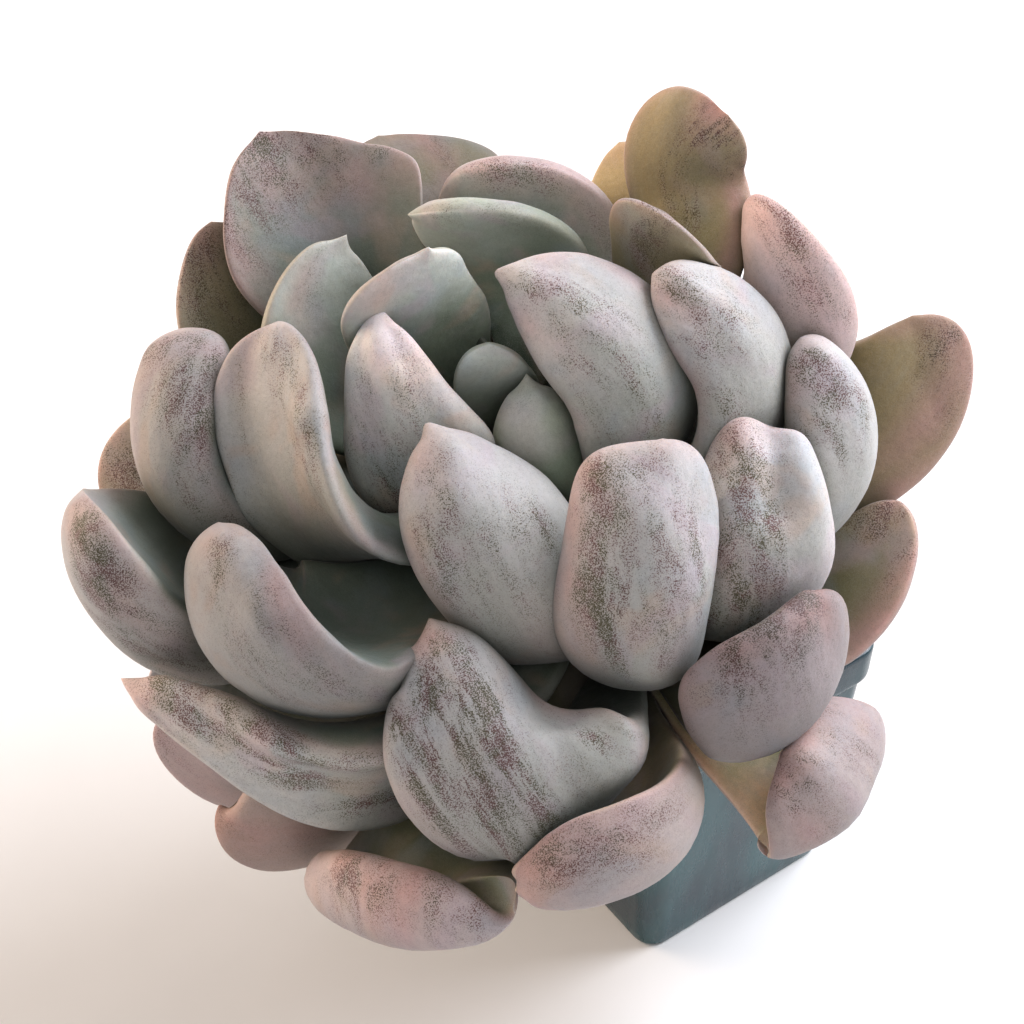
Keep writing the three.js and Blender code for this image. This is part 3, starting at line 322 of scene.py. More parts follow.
# Ridges and hollows of single leaves: two picture points, half width in mm, height in mm (below 0 is a hollow).
RIDGES = {
    "leaf_01": ((300, 150, 330, 250, 4.0, -0.5), (380, 160, 395, 230, 3.0, 0.4),),
    "leaf_06": ((168, 348, 196, 430, 2.6, 0.9), (196, 430, 206, 490, 2.8, 0.6),),
    "leaf_09": ((276, 334, 304, 420, 2.6, 1.0), (304, 420, 312, 480, 2.6, 0.6), (246, 380, 262, 470, 4.5, -0.5),),
    "leaf_10": ((672, 100, 700, 200, 2.4, 0.5), (716, 112, 736, 170, 2.2, -0.4),),
    "leaf_16": ((84, 540, 120, 610, 3.2, 0.7), (132, 618, 165, 672, 1.6, -0.4),),
    "leaf_18": ((372, 322, 396, 380, 2.4, 0.7), (396, 380, 420, 440, 2.6, 0.6), (366, 400, 372, 470, 3.0, -0.4),),
    "leaf_20": ((438, 434, 462, 500, 2.8, 0.6), (462, 500, 520, 600, 3.4, 0.4),),
    "leaf_21": ((220, 540, 262, 610, 3.0, 0.8), (262, 610, 320, 660, 3.2, 0.6),),
    "leaf_23": ((510, 272, 590, 320, 2.6, 0.6), (590, 320, 640, 385, 3.0, 0.4),),
    "leaf_24": ((676, 276, 735, 340, 3.0, 0.4),),
    "leaf_29": ((771, 434, 779, 510, 2.6, -1.9), (779, 510, 796, 560, 3.4, -0.7), (747, 440, 733, 520, 4.6, 1.0), (797, 455, 822, 510, 2.4, 0.6), (733, 560, 722, 620, 4.0, 0.6),),
    "leaf_32": ((165, 690, 290, 752, 3.4, 0.9), (160, 722, 285, 798, 2.0, -0.5), (300, 756, 330, 790, 3.0, -0.6), (350, 770, 375, 800, 3.6, 0.5),),
    "leaf_33": ((916, 328, 922, 372, 1.1, -0.5), (922, 374, 938, 418, 1.1, -0.45),),
    "leaf_35": ((660, 466, 706, 520, 4.5, -0.9), (600, 474, 650, 525, 3.4, 0.7), (590, 560, 600, 620, 4.0, 0.5), (620, 640, 660, 650, 4.0, 0.4),),
    "leaf_42": ((780, 745, 800, 762, 2.4, 0.9), (800, 762, 845, 800, 4.0, 0.5), (790, 790, 800, 830, 3.0, -0.4),),
    "leaf_43": ((806, 588, 780, 640, 4.5, 0.8), (818, 600, 836, 650, 2.4, -0.6), (770, 600, 740, 650, 4.0, 0.4),),
    "leaf_45": ((335, 868, 440, 905, 4.0, 0.5),),
    "leaf_46": ((560, 860, 640, 812, 3.0, 0.5),),
    "leaf_47": ((552, 712, 604, 735, 4.6, -1.3), (556, 742, 572, 790, 1.5, -0.6), (620, 735, 632, 768, 4.6, 0.9), (440, 650, 500, 760, 5.0, 0.6), (480, 780, 520, 830, 5.0, 0.4),),
}


def place_on(tree, P, un, px, py):
    """The unrolled place of the leaf point seen at a picture point."""
    d = view_ray(px, py)
    hit = tree.ray_cast(CAM.tolist(), d.tolist(), 2.0)
    if hit[0] is None:
        rel = P - CAM
        off = rel - (rel @ d)[:, None] * d
        return un[np.argmin(np.linalg.norm(off, axis=1))]
    return un[np.argmin(np.linalg.norm(P - np.array(hit[0]), axis=1))]


def from_line(un, a, b):
    ab = b - a
    t = np.clip(((un - a) @ ab) / max(ab @ ab, 1e-12), 0, 1)
    return np.linalg.norm(un - a - t[..., None] * ab, axis=-1) / MM


# Outline pulls: picture point, shift in picture pixels, reach in mm.
PULLS = {
    "leaf_01": ((236, 160, -6, -4, 10), (290, 136, 4, -4, 12), (405, 150, 6, -4, 9),),
    "leaf_04": ((215, 238, 0, -6, 8),),
    "leaf_06": ((200, 345, 16, -10, 9), (150, 350, -4, -6, 8), (232, 360, 10, -6, 8),),
    "leaf_07": ((400, 140, -10, -2, 8), (470, 146, 6, 0, 8),),
    "leaf_12": ((130, 430, 4, -4, 7),),
    "leaf_16": ((84, 515, -14, -8, 12), (100, 500, -4, -6, 9), (150, 500, 6, -6, 10), (88, 590, -6, 4, 9),),
    "leaf_19": ((757, 212, -2, -4, 7),),
    "leaf_21": ((416, 658, -16, 6, 7),),
    "leaf_29": ((771, 432, 0, 12, 3.4), (745, 422, -2, -5, 5), (798, 434, 4, -5, 5), (708, 610, -6, 6, 8),),
    "leaf_32": ((290, 722, 0, 12, 8), (345, 732, 0, 12, 8),),
    "leaf_33": ((960, 340, 6, -8, 9),),
    "leaf_35": ((598, 464, -9, -7, 6), (700, 450, 4, -8, 8), (726, 500, -6, 0, 9), (566, 640, -6, 2, 9), (620, 694, 4, -8, 6),),
    "leaf_38": ((215, 772, 2, 20, 8), (188, 800, 0, 8, 6),),
    "leaf_43": ((806, 584, 0, -6, 2.0), (830, 600, 6, -4, 7),),
    "leaf_47": ((530, 682, -2, 20, 7), (562, 700, 0, 12, 6), (640, 726, 2, -6, 7), (409, 652, 6, 2, 3.5),),
}
for n, marks in PULLS.items():
    g = leaves[n]
    for px, py, dx, dy, reach in marks:
        P = points_of(g)
        d = view_ray(px, py)
        rel = P - CAM
        dist = rel @ d
        off = np.linalg.norm(rel - dist[:, None] * d, axis=1)
        near = off < off.min() + 0.8 * MM
        k = np.flatnonzero(near)[np.argmin(dist[near])]
        shift = (RIGHT * dx - UPWARD * dy) * (rel[k] @ AHEAD) / FOCAL_PX
        w = np.exp(-(np.linalg.norm(g["V"] - P[k], axis=-1) / MM / reach) ** 2)
        g["V"] = g["V"] + w[..., None] * shift

# Places where a leaf is evened out: picture point, reach in mm, rounds.
EVEN = {
    "leaf_10": ((748, 180, 7, 26), (742, 182, 4, 10),),
    "leaf_30": ((186, 778, 9, 18),),
    "leaf_35": ((614, 690, 5, 14), (626, 660, 6, 8),),
    "leaf_38": ((214, 802, 11, 60), (192, 812, 6, 20),),
    "leaf_42": ((762, 842, 4, 12),),
    "leaf_43": ((768, 614, 6, 16),),
    "leaf_45": ((514, 906, 6, 12),),
    "leaf_46": ((530, 888, 5, 12),),
    "leaf_47": ((616, 705, 5, 14), (412, 655, 4, 10),),
}
for n, marks in EVEN.items():
    g = leaves[n]
    for px, py, reach, rounds in marks:
        P = points_of(g)
        d = view_ray(px, py)
        rel = P - CAM
        dist = rel @ d
        off = np.linalg.norm(rel - dist[:, None] * d, axis=1)
        near = off < off.min() + 0.8 * MM
        k = np.flatnonzero(near)[np.argmin(dist[near])]
        w = (np.exp(-(np.linalg.norm(g["V"] - P[k], axis=-1) / MM / reach) ** 2) * smooth(g["u"] / 0.1))[..., None]
        V = g["V"]
        for _ in range(int(rounds)):
            rows = np.concatenate([V[:1], V, V[-1:]], 0)
            V = V * (1 - 0.9 * w) + 0.9 * w * (0.25 * (np.roll(V, 1, 1) + np.roll(V, -1, 1)) + 0.25 * (rows[:-2] + rows[2:]))
        g["V"] = V

for n, marks in RIDGES.items():
    g = leaves[n]
    P = points_of(g)
    un = flat(g, "unrolled")
    tree = BVHTree.FromPolygons(P.tolist(), FACES)
    V = g["V"]
    Nn = normals_of(V)
    amount = np.zeros(V.shape[:2])
    for x1, y1, x2, y2, wide, high in marks:
        a, b = place_on(tree, P, un, x1, y1), place_on(tree, P, un, x2, y2)
        amount += high * np.exp(-(from_line(g["unrolled"], a, b) / wide) ** 2)
    g["V"] = V + Nn * amount[..., None] * MM

# ------------------------------------------------------------------ colours of the leaves
# dark rubbed places, pink places and places of painted back-light glow (a tan tint): picture x, y, half length and half
# width in mm, strength
RUBS = {
    "leaf_01": ((262, 150, 6, 4.5, 1.0), (290, 162, 8, 5.2, 0.9), (256, 190, 8, 4.4, 0.7), (330, 155, 9, 3.6, 0.6), (236, 230, 9, 3.8, 0.5), (380, 158, 7, 2.8, 0.45),),
    "leaf_02": ((400, 285, 6, 3, 0.2),),
    "leaf_03": ((440, 215, 6, 3.4, 0.45), (500, 215, 9, 2.6, 0.3),),
    "leaf_04": ((200, 250, 6, 4.4, 0.75), (190, 290, 9, 4.4, 0.6), (216, 290, 9, 5, 0.5),),
    "leaf_05": ((312, 270, 8, 4, 0.35),),
    "leaf_06": ((180, 360, 6, 3.5, 0.75), (190, 390, 7, 3.5, 0.85), (200, 425, 6, 3.5, 0.75), (196, 470, 8, 4.5, 0.6), (160, 345, 3, 2.5, 0.7), (222, 510, 7, 4, 0.4),),
    "leaf_07": ((440, 145, 10, 3, 0.4),),
    "leaf_09": ((275, 345, 4, 2.6, 0.47), (285, 372, 8, 3.4, 0.51), (294, 420, 9, 3, 0.55), (306, 442, 4, 2.4, 0.85), (311, 480, 8, 3.6, 0.42), (240, 400, 14, 1.2, 0.34), (230, 480, 12, 1.6, 0.26), (262, 330, 4, 3, 0.26),),
    "leaf_10": ((707, 130, 5, 3.2, 0.85), (716, 152, 6, 3.2, 0.85), (741, 162, 7, 2.6, 0.6), (690, 200, 9, 3.4, 0.6), (680, 130, 9, 1.6, 0.4), (664, 150, 12, 1.2, 0.45),),
    "leaf_12": ((115, 460, 7, 5, 0.5), (132, 482, 5, 3.4, 0.8),),
    "leaf_13": ((520, 175, 7, 3.4, 0.75), (537, 182, 4, 3.4, 0.7), (490, 180, 8, 3.4, 0.4), (590, 220, 7, 4, 0.3),),
    "leaf_14": ((650, 215, 8, 4.6, 0.6), (640, 242, 8, 5, 0.6),),
    "leaf_15": ((520, 400, 6, 3, 0.25),),
    "leaf_16": ((82, 530, 7, 3.5, 1.0), (96, 560, 8, 3.5, 0.95), (110, 600, 8, 3.5, 0.7), (132, 610, 8, 3.5, 0.6), (172, 665, 8, 4.5, 0.6), (125, 640, 8, 3, 0.5), (205, 690, 8, 4, 0.5),),
    "leaf_18": ((395, 365, 8, 3.2, 0.37), (411, 400, 10, 4, 0.31), (373, 420, 12, 1.8, 0.46), (381, 470, 12, 1.8, 0.53), (395, 520, 8, 1.6, 0.59), (356, 460, 9, 1.6, 0.31), (413, 430, 10, 3.4, 0.31),),
    "leaf_19": ((785, 230, 6, 3.6, 0.75), (800, 260, 8, 4.6, 0.5), (820, 290, 7, 4.6, 0.4),),
    "leaf_20": ((432, 545, 12, 3, 0.55), (458, 520, 12, 3, 0.5), (520, 530, 10, 3, 0.4), (545, 525, 4, 2, 0.85), (470, 600, 8, 3.5, 0.3), (442, 470, 6, 2.5, 0.45), (495, 570, 12, 2, 0.3),),
    "leaf_21": ((216, 560, 9, 2.4, 0.75), (222, 600, 9, 2.4, 0.5), (262, 610, 8, 2.6, 0.4), (250, 660, 9, 4.5, 0.35), (330, 690, 9, 4.5, 0.3),),
    "leaf_23": ((530, 285, 6, 3, 0.51), (570, 300, 10, 3.6, 0.47), (590, 325, 8, 3.2, 0.58), (600, 300, 8, 3.4, 0.39), (622, 352, 10, 2.8, 0.55), (585, 370, 10, 3.4, 0.35), (640, 382, 9, 2.6, 0.43), (600, 402, 9, 5, 0.23), (560, 330, 8, 2.4, 0.27),),
    "leaf_24": ((680, 290, 5, 3.5, 0.64), (705, 310, 9, 5, 0.42), (730, 322, 8, 4.4, 0.42), (700, 345, 9, 4, 0.34), (722, 400, 6, 4, 0.34), (668, 277, 3, 2.6, 0.51),),
    "leaf_29": ((745, 450, 5, 4, 0.8), (738, 480, 9, 4, 1.05), (748, 512, 9, 4, 0.9), (733, 560, 8, 4, 0.75), (738, 600, 7, 4.5, 0.7), (718, 612, 5, 3, 0.7), (765, 590, 6, 3, 0.5),),
    "leaf_30": ((160, 745, 6, 4, 0.3),),
    "leaf_31": ((810, 370, 5, 3.6, 0.75), (825, 390, 6, 4.4, 0.6), (820, 420, 7, 3.6, 0.5), (840, 440, 6, 4.4, 0.4), (862, 400, 4, 1.6, 0.7),),
    "leaf_32": ((165, 690, 6, 3.5, 0.95), (190, 712, 9, 4, 0.9), (228, 716, 10, 3.2, 0.8), (250, 747, 9, 3.8, 0.9), (288, 752, 8, 4, 0.95), (300, 782, 7, 2.6, 0.95), (372, 806, 6, 2.5, 0.85), (360, 770, 5, 4, 0.5),),
    "leaf_33": ((946, 346, 4, 3.4, 0.85), (940, 370, 6, 3.6, 0.5), (955, 400, 7, 3, 0.4),),
    "leaf_35": ((598, 482, 5, 3, 0.8), (612, 500, 9, 4, 0.55), (590, 560, 10, 2.6, 0.75), (605, 612, 9, 3.2, 0.95), (660, 560, 10, 4.5, 0.5), (680, 590, 8, 4, 0.4), (662, 642, 5, 1.5, 0.45), (650, 480, 8, 3.5, 0.35), (696, 560, 10, 2.2, 0.6),),
    "leaf_38": ((205, 820, 8, 5, 0.3), (260, 845, 9, 4, 0.2),),
    "leaf_42": ((800, 765, 5, 3.5, 0.65), (845, 745, 6, 4, 0.5), (830, 720, 5, 4, 0.3), (795, 790, 6, 5, 0.4), (820, 800, 9, 5, 0.25),),
    "leaf_43": ((790, 600, 6, 4.5, 0.9), (768, 630, 8, 5, 0.85), (745, 655, 8, 5, 0.6), (800, 640, 6, 4, 0.5),),
    "leaf_44": ((886, 520, 5, 3.4, 0.85), (905, 560, 7, 3, 0.4), (860, 520, 6, 3, 0.4),),
    "leaf_45": ((345, 885, 7, 5, 0.85), (375, 880, 8, 4.5, 0.6), (440, 900, 10, 4.5, 0.5), (480, 905, 8, 4, 0.4),),
    "leaf_46": ((560, 862, 6, 4, 0.85), (600, 850, 8, 4.5, 0.6), (628, 858, 4, 2.5, 0.65), (650, 815, 5, 4, 0.4),),
    "leaf_47": ((440, 660, 8, 3, 0.7), (425, 690, 10, 2.2, 0.95), (455, 690, 12, 1.9, 0.95), (482, 680, 9, 2.2, 0.85), (400, 730, 9, 1.8, 0.95), (430, 755, 9, 2.0, 0.8), (457, 760, 12, 1.6, 0.95), (500, 750, 10, 1.8, 0.95), (520, 765, 9, 1.6, 0.85), (425, 800, 8, 1.8, 0.85), (470, 800, 10, 1.8, 0.85), (510, 815, 8, 1.8, 0.95), (535, 800, 8, 1.6, 0.7), (590, 735, 3, 2.5, 0.5),),
}
PINKS = {
    "leaf_01": ((250, 172, 8, 4.5, 0.8), (235, 242, 12, 3.2, 0.85), (300, 158, 12, 5.0, 0.8), (350, 165, 14, 4.6, 0.85), (402, 172, 6, 4.0, 0.7), (247, 292, 9, 2.8, 0.65),),
    "leaf_02": ((380, 290, 8, 2.8, 0.65),),
    "leaf_04": ((208, 240, 5, 3.6, 0.65),),
    "leaf_05": ((300, 282, 9, 2.4, 0.7),),
    "leaf_06": ((150, 352, 8, 2.8, 0.5),),
    "leaf_07": ((430, 150, 12, 2.4, 0.85),),
    "leaf_09": ((250, 340, 6, 2, 0.5),),
    "leaf_10": ((738, 240, 14, 2.2, 1.0), (712, 115, 5, 3.6, 0.65),),
    "leaf_12": ((115, 445, 5, 4.6, 0.55),),
    "leaf_13": ((500, 172, 12, 5.0, 0.9), (550, 178, 12, 5.0, 0.9), (592, 202, 7, 4.2, 0.7),),
    "leaf_14": ((612, 210, 5, 2.8, 0.35),),
    "leaf_16": ((72, 520, 5, 3.6, 0.95), (136, 622, 9, 2.8, 0.75),),
    "leaf_18": ((420, 352, 10, 2.6, 0.55), (440, 380, 9, 2.6, 0.35),),
    "leaf_19": ((757, 225, 6, 6, 0.8), (800, 262, 12, 8, 0.6),),
    "leaf_20": ((425, 460, 8, 2.6, 0.55), (424, 560, 14, 2.2, 0.45), (540, 640, 8, 4, 0.45),),
    "leaf_21": ((282, 602, 14, 2.6, 0.75), (205, 540, 8, 2.6, 0.35),),
    "leaf_23": ((530, 330, 14, 2.4, 0.6), (612, 266, 10, 2.6, 0.55),),
    "leaf_24": ((668, 300, 8, 2.8, 0.9), (690, 380, 12, 2.4, 0.65),),
    "leaf_29": ((740, 435, 4, 4, 0.85), (721, 560, 9, 2.8, 0.8), (760, 440, 5, 3, 0.4),),
    "leaf_30": ((180, 762, 12, 7, 0.65), (155, 740, 5, 4, 0.5),),
    "leaf_31": ((790, 385, 6, 3.6, 0.9),),
    "leaf_32": ((140, 690, 5, 4, 0.95),),
    "leaf_33": ((950, 392, 14, 4.4, 0.95), (900, 482, 10, 2.8, 0.8), (955, 340, 6, 3.6, 0.8),),
    "leaf_35": ((570, 560, 16, 2.6, 0.95), (574, 632, 9, 3.4, 0.85), (590, 470, 4, 3.6, 0.9), (684, 640, 9, 4, 0.45),),
    "leaf_38": ((240, 838, 18, 7, 0.95), (200, 815, 8, 6, 0.8), (300, 835, 14, 5, 0.7),),
    "leaf_42": ((780, 772, 8, 3, 1.0), (790, 742, 6, 4.6, 0.75), (812, 830, 8, 4, 0.5), (830, 720, 6, 5, 0.4),),
    "leaf_43": ((802, 590, 6, 4.6, 0.9), (826, 620, 8, 2.8, 0.8), (740, 640, 6, 4, 0.5),),
    "leaf_44": ((880, 620, 10, 3.6, 0.8), (905, 572, 9, 2.8, 0.8), (880, 515, 8, 2.6, 0.65),),
    "leaf_45": ((340, 860, 8, 5.4, 0.6), (400, 912, 12, 4.6, 0.75), (370, 900, 8, 4.6, 0.75),),
    "leaf_46": ((548, 862, 6, 4.6, 0.85), (590, 840, 7, 3.6, 0.5),),
    "leaf_47": ((425, 642, 5, 3.6, 0.7), (547, 702, 5, 2.2, 0.9), (398, 700, 10, 2, 0.65), (430, 832, 9, 3.6, 0.55),),
}
# painted glow: a tan tint where light from behind would shine through the leaf
PAINTED_GLOWS = {
    "leaf_04": ((232, 302, 8, 3.6, 0.45),),
    "leaf_07": ((440, 182, 10, 6, 0.15),),
    "leaf_09": ((240, 372, 9, 2, 0.3),),
    "leaf_10": ((650, 180, 16, 5, 0.75), (640, 120, 9, 3.6, 0.8), (680, 142, 8, 3.6, 0.55), (722, 222, 9, 3.4, 0.3),),
    "leaf_17": ((610, 172, 9, 6, 0.9),),
    "leaf_33": ((900, 402, 18, 9, 1.0), (880, 352, 8, 6, 0.95),),
    "leaf_38": ((212, 815, 12, 4, 0.55),),
    "leaf_42": ((762, 802, 9, 6, 0.85), (700, 762, 9, 3, 0.85),),
    "leaf_46": ((660, 762, 9, 8, 0.75),),
}
# per leaf: all-over rub, pink margin, painted back-light glow, inner green, brightness (partly painted light and
# shade), streaks
LOOK = {
    "leaf_01": (0.09, 0.7, 0.05, 1, 0.8, 0.25),
    "leaf_02": (0.03, 0.32, 0.02, 1, 1.4, 0.3),
    "leaf_03": (0.06, 0.32, 0, 1, 1.55, 0.3),
    "leaf_04": (0.18, 0.35, 0.12, 1, 1.08, 0.2),
    "leaf_05": (0.06, 0.35, 0.02, 1, 0.92, 0.3),
    "leaf_06": (0.12, 0.49, 0.06, 1, 0.82, 0.2),
    "leaf_07": (0.1, 0.35, 0, 1, 0.56, 0.3),
    "leaf_08": (0.03, 0.05, 0, 1, 1.2, 0.3),
    "leaf_09": (0.1, 0.39, 0.08, 1, 0.9, 0.3),
    "leaf_10": (0.16, 0.45, 0.35, 1, 1.16, 0.7),
    "leaf_11": (0.03, 0.1, 0, 1, 1.5, 0.3),
    "leaf_12": (0.18, 0.4, 0.1, 1, 1.55, 0.2),
    "leaf_13": (0.12, 0.7, 0, 1, 1.5, 0.3),
    "leaf_14": (0.16, 0.25, 0, 1, 1.2, 0.2),
    "leaf_15": (0.03, 0.1, 0.05, 1, 1.3, 0.3),
    "leaf_16": (0.14, 0.54, 0, 1, 0.84, 0.15),
    "leaf_17": (0.08, 0.3, 0.5, 1, 1.5, 0.3),
    "leaf_18": (0.1, 0.28, 0, 1, 1.45, 0.5),
    "leaf_19": (0.12, 0.4, 0, 1, 1.35, 0.2),
    "leaf_20": (0.14, 0.44, 0, 1, 0.93, 0.3),
    "leaf_21": (0.1, 0.44, 0, 1, 0.67, 0.15),
    "leaf_23": (0.12, 0.32, 0, 1, 1.14, 0.45),
    "leaf_24": (0.12, 0.44, 0, 1, 1.08, 0.3),
    "leaf_29": (0.16, 0.54, 0, 1, 1.22, 0.1),
    "leaf_30": (0.1, 0.4, 0.1, 1, 1.0, 0.2),
    "leaf_31": (0.12, 0.49, 0, 1, 1.04, 0.2),
    "leaf_32": (0.16, 0.54, 0.05, 1, 1.14, 0.25),
    "leaf_33": (0.08, 0.6, 0.5, 1, 0.97, 0.3),
    "leaf_35": (0.16, 0.54, 0, 1, 0.96, 0.1),
    "leaf_38": (0.08, 0.8, 0.5, 0.8, 0.76, 0.2),
    "leaf_42": (0.1, 0.59, 0.12, 1, 0.8, 0.1),
    "leaf_43": (0.2, 0.54, 0, 1, 0.57, 0.05),
    "leaf_44": (0.16, 0.5, 0.1, 1, 1.34, 0.2),
    "leaf_45": (0.12, 0.5, 0.05, 1, 0.98, 0.15),
    "leaf_46": (0.1, 0.54, 0.1, 1, 0.88, 0.15),
    "leaf_47": (0.2, 0.54, 0, 1, 0.88, 0.62),
}
LOOK_DEFAULT = (0.12, 0.40, 0.0, 1.0, 1.0, 0.3)
GREENS = {

}
# painted light: the inner faces of these leaves are brightened as if more light reached them
PAINTED_INNER_LIGHT = {"leaf_42": 2.7, "leaf_46": 1.8, "leaf_06": 0.75, "leaf_45": 1.3, "leaf_16": 1.2}
# painted shade: how strongly each leaf is darkened where near leaves hide the sky
PAINTED_SHADE_SCALE = {"leaf_18": 0.3, "leaf_03": 0.12, "leaf_15": 0.6, "leaf_08": 0.6, "leaf_02": 0.5, "leaf_11": 0.5, "leaf_13": 0.5, "leaf_29": 0.5, "leaf_20": 0.6, "leaf_23": 0.7, "leaf_24": 0.6, "leaf_35": 0.7, "leaf_42": 0.35, "leaf_19": 0.6, "leaf_43": 0.8, "leaf_14": 0.6, "leaf_12": 0.6, "leaf_44": 0.6, "leaf_17": 0.5, "leaf_46": 0.7, "leaf_32": 0.7}
INNER_SEEN = {"leaf_07", "leaf_17", "leaf_10", "leaf_04", "leaf_01", "leaf_13", "leaf_14", "leaf_33", "leaf_44", "leaf_12", "leaf_03", "leaf_05", "leaf_02"}


def spots(g, tree, marks, un, nearest):
    total = np.zeros(len(un))
    for px, py, rl, rw, amp in marks:
        at = place_on(tree, nearest, un, px, py)
        e = (un - at) / MM / np.array([rl, rw, rw])
        total = np.maximum(total, amp * np.exp(-(e ** 2).sum(1)))
    return total


ALL_POINTS = {n: points_of(g) for n, g in leaves.items()}
together, joined = [], []
for n in leaves:
    base = len(together)
    together += ALL_POINTS[n].tolist()
    joined += [tuple(i + base for i in f) for f in FACES]
WHOLE = BVHTree.FromPolygons(together, joined)
CONE = [(math.cos(2.4 * i) * math.sqrt((i + 0.5) / 11), math.sin(2.4 * i) * math.sqrt((i + 0.5) / 11), math.sqrt(1 - (i + 0.5) / 11)) for i in range(11)]


def enclosed(g):
    """Share of the sky that near leaves hide from each ring point, 0 to 1."""
    V = g["V"]
    Nn = normals_of(V)
    out = np.zeros(V.shape[:2])
    for i in range(V.shape[0]):
        for k in range(i % 2, V.shape[1], 2):
            n = Vector(Nn[i, k].tolist())
            a = n.orthogonal().normalized()
            b = n.cross(a)
            start = Vector(V[i, k].tolist()) + n * 0.0004
            total = 0.0
            for x, y, z in CONE:
                hit = WHOLE.ray_cast(start, a * x + b * y + n * z, 0.026)
                if hit[0] is not None:
                    total += 1 - 0.6 * hit[3] / 0.026
            out[i, k] = total / len(CONE)
        odd = (np.arange(V.shape[1]) % 2) != (i % 2)
        mean = (np.roll(out[i], 1) + np.roll(out[i], -1)) / 2
        out[i, odd] = mean[odd]
    for _ in range(2):
        rows = np.concatenate([out[:1], out, out[-1:]], 0)
        out = 0.4 * out + 0.15 * (np.roll(out, 1, 1) + np.roll(out, -1, 1)) + 0.15 * (rows[:-2] + rows[2:])
    return out


def make_leaf(name, g, material):
    P = points_of(g)
    mesh = bpy.data.meshes.new(name + "_flesh")
    mesh.from_pydata(P.tolist(), [], FACES)
    mesh.polygons.foreach_set("use_smooth", [True] * len(mesh.polygons))
    mesh.update()
    obj = bpy.data.objects.new(name + "_flesh", mesh)
    bpy.context.scene.collection.objects.link(obj)
    mesh.materials.append(material)
    un = flat(g, "unrolled")
    u = flat(g, "u")
    si = flat(g, "si")
    co = flat(g, "co")
    tree = BVHTree.FromPolygons(P.tolist(), FACES)
    rub_all, pink_edge, painted_glow_all, green, painted_light_shade_and_tone, streaky = LOOK.get(name, LOOK_DEFAULT)
    inner = smooth((si + 0.05) / 0.45)
    margin = np.exp(-((si - 0.12) / 0.34) ** 2) * smooth((u - 0.25) / 0.3)
    margin = np.maximum(margin, smooth((u - 0.93) / 0.07))
    rub = rub_all * (1 - 0.75 * inner) + spots(g, tree, RUBS.get(name, ()), un, P)
    pink = pink_edge * margin + spots(g, tree, PINKS.get(name, ()), un, P)
    tan = painted_glow_all + spots(g, tree, PAINTED_GLOWS.get(name, ()), un, P)

    def put(key, values):
        a = mesh.attributes.new(key, "FLOAT", "POINT")
        a.data.foreach_set("value", np.asarray(values, np.float32))

    shade = spots(g, tree, GREENS.get(name, ()), un, P)
    # painted shade: the share of sky hidden by near leaves, which darkens the colour in the material
    g["deep"] = enclosed(g)
    put("inner", np.clip(np.maximum(inner * green, shade), 0, 1))
    put("deep", np.clip(flat(g, "deep") * PAINTED_SHADE_SCALE.get(name, 1.0), 0, 1))
    put("streaky", np.full(len(P), streaky))
    put("rub", np.clip(rub, 0, 1.2))
    put("pink", np.clip(pink, 0, 1))
    put("tan", np.clip(tan, 0, 1))
    put("along", u)
    # painted light and shade: the per-leaf brightness is partly set for how lit each leaf is, parts facing down are
    # darkened as painted shade, and inner faces get painted light
    if name in INNER_SEEN:
        painted_light_shade_and_tone = painted_light_shade_and_tone * inner + min(painted_light_shade_and_tone, 1.0) * (1 - inner)
    up = np.concatenate([normals_of(g["V"])[:NU, :, 2].reshape(-1), [0.3, 0.0]])
    put("painted_light_shade_and_tone", painted_light_shade_and_tone * (1 - 0.30 * smooth((0.42 - up) / 1.0)) * (1 + (PAINTED_INNER_LIGHT.get(name, 1.0) - 1) * inner))
    a = mesh.attributes.new("unrolled", "FLOAT_VECTOR", "POINT")
    uv = un + np.array([g["seed"], 0, 0])
    a.data.foreach_set("vector", uv.astype(np.float32).reshape(-1))
    return obj


# ------------------------------------------------------------------ materials
def lin(r, g, b):
    return tuple(((c / 255) / 12.92 if c / 255 <= 0.04045 else ((c / 255 + 0.055) / 1.055) ** 2.4) for c in (r, g, b)) + (1,)


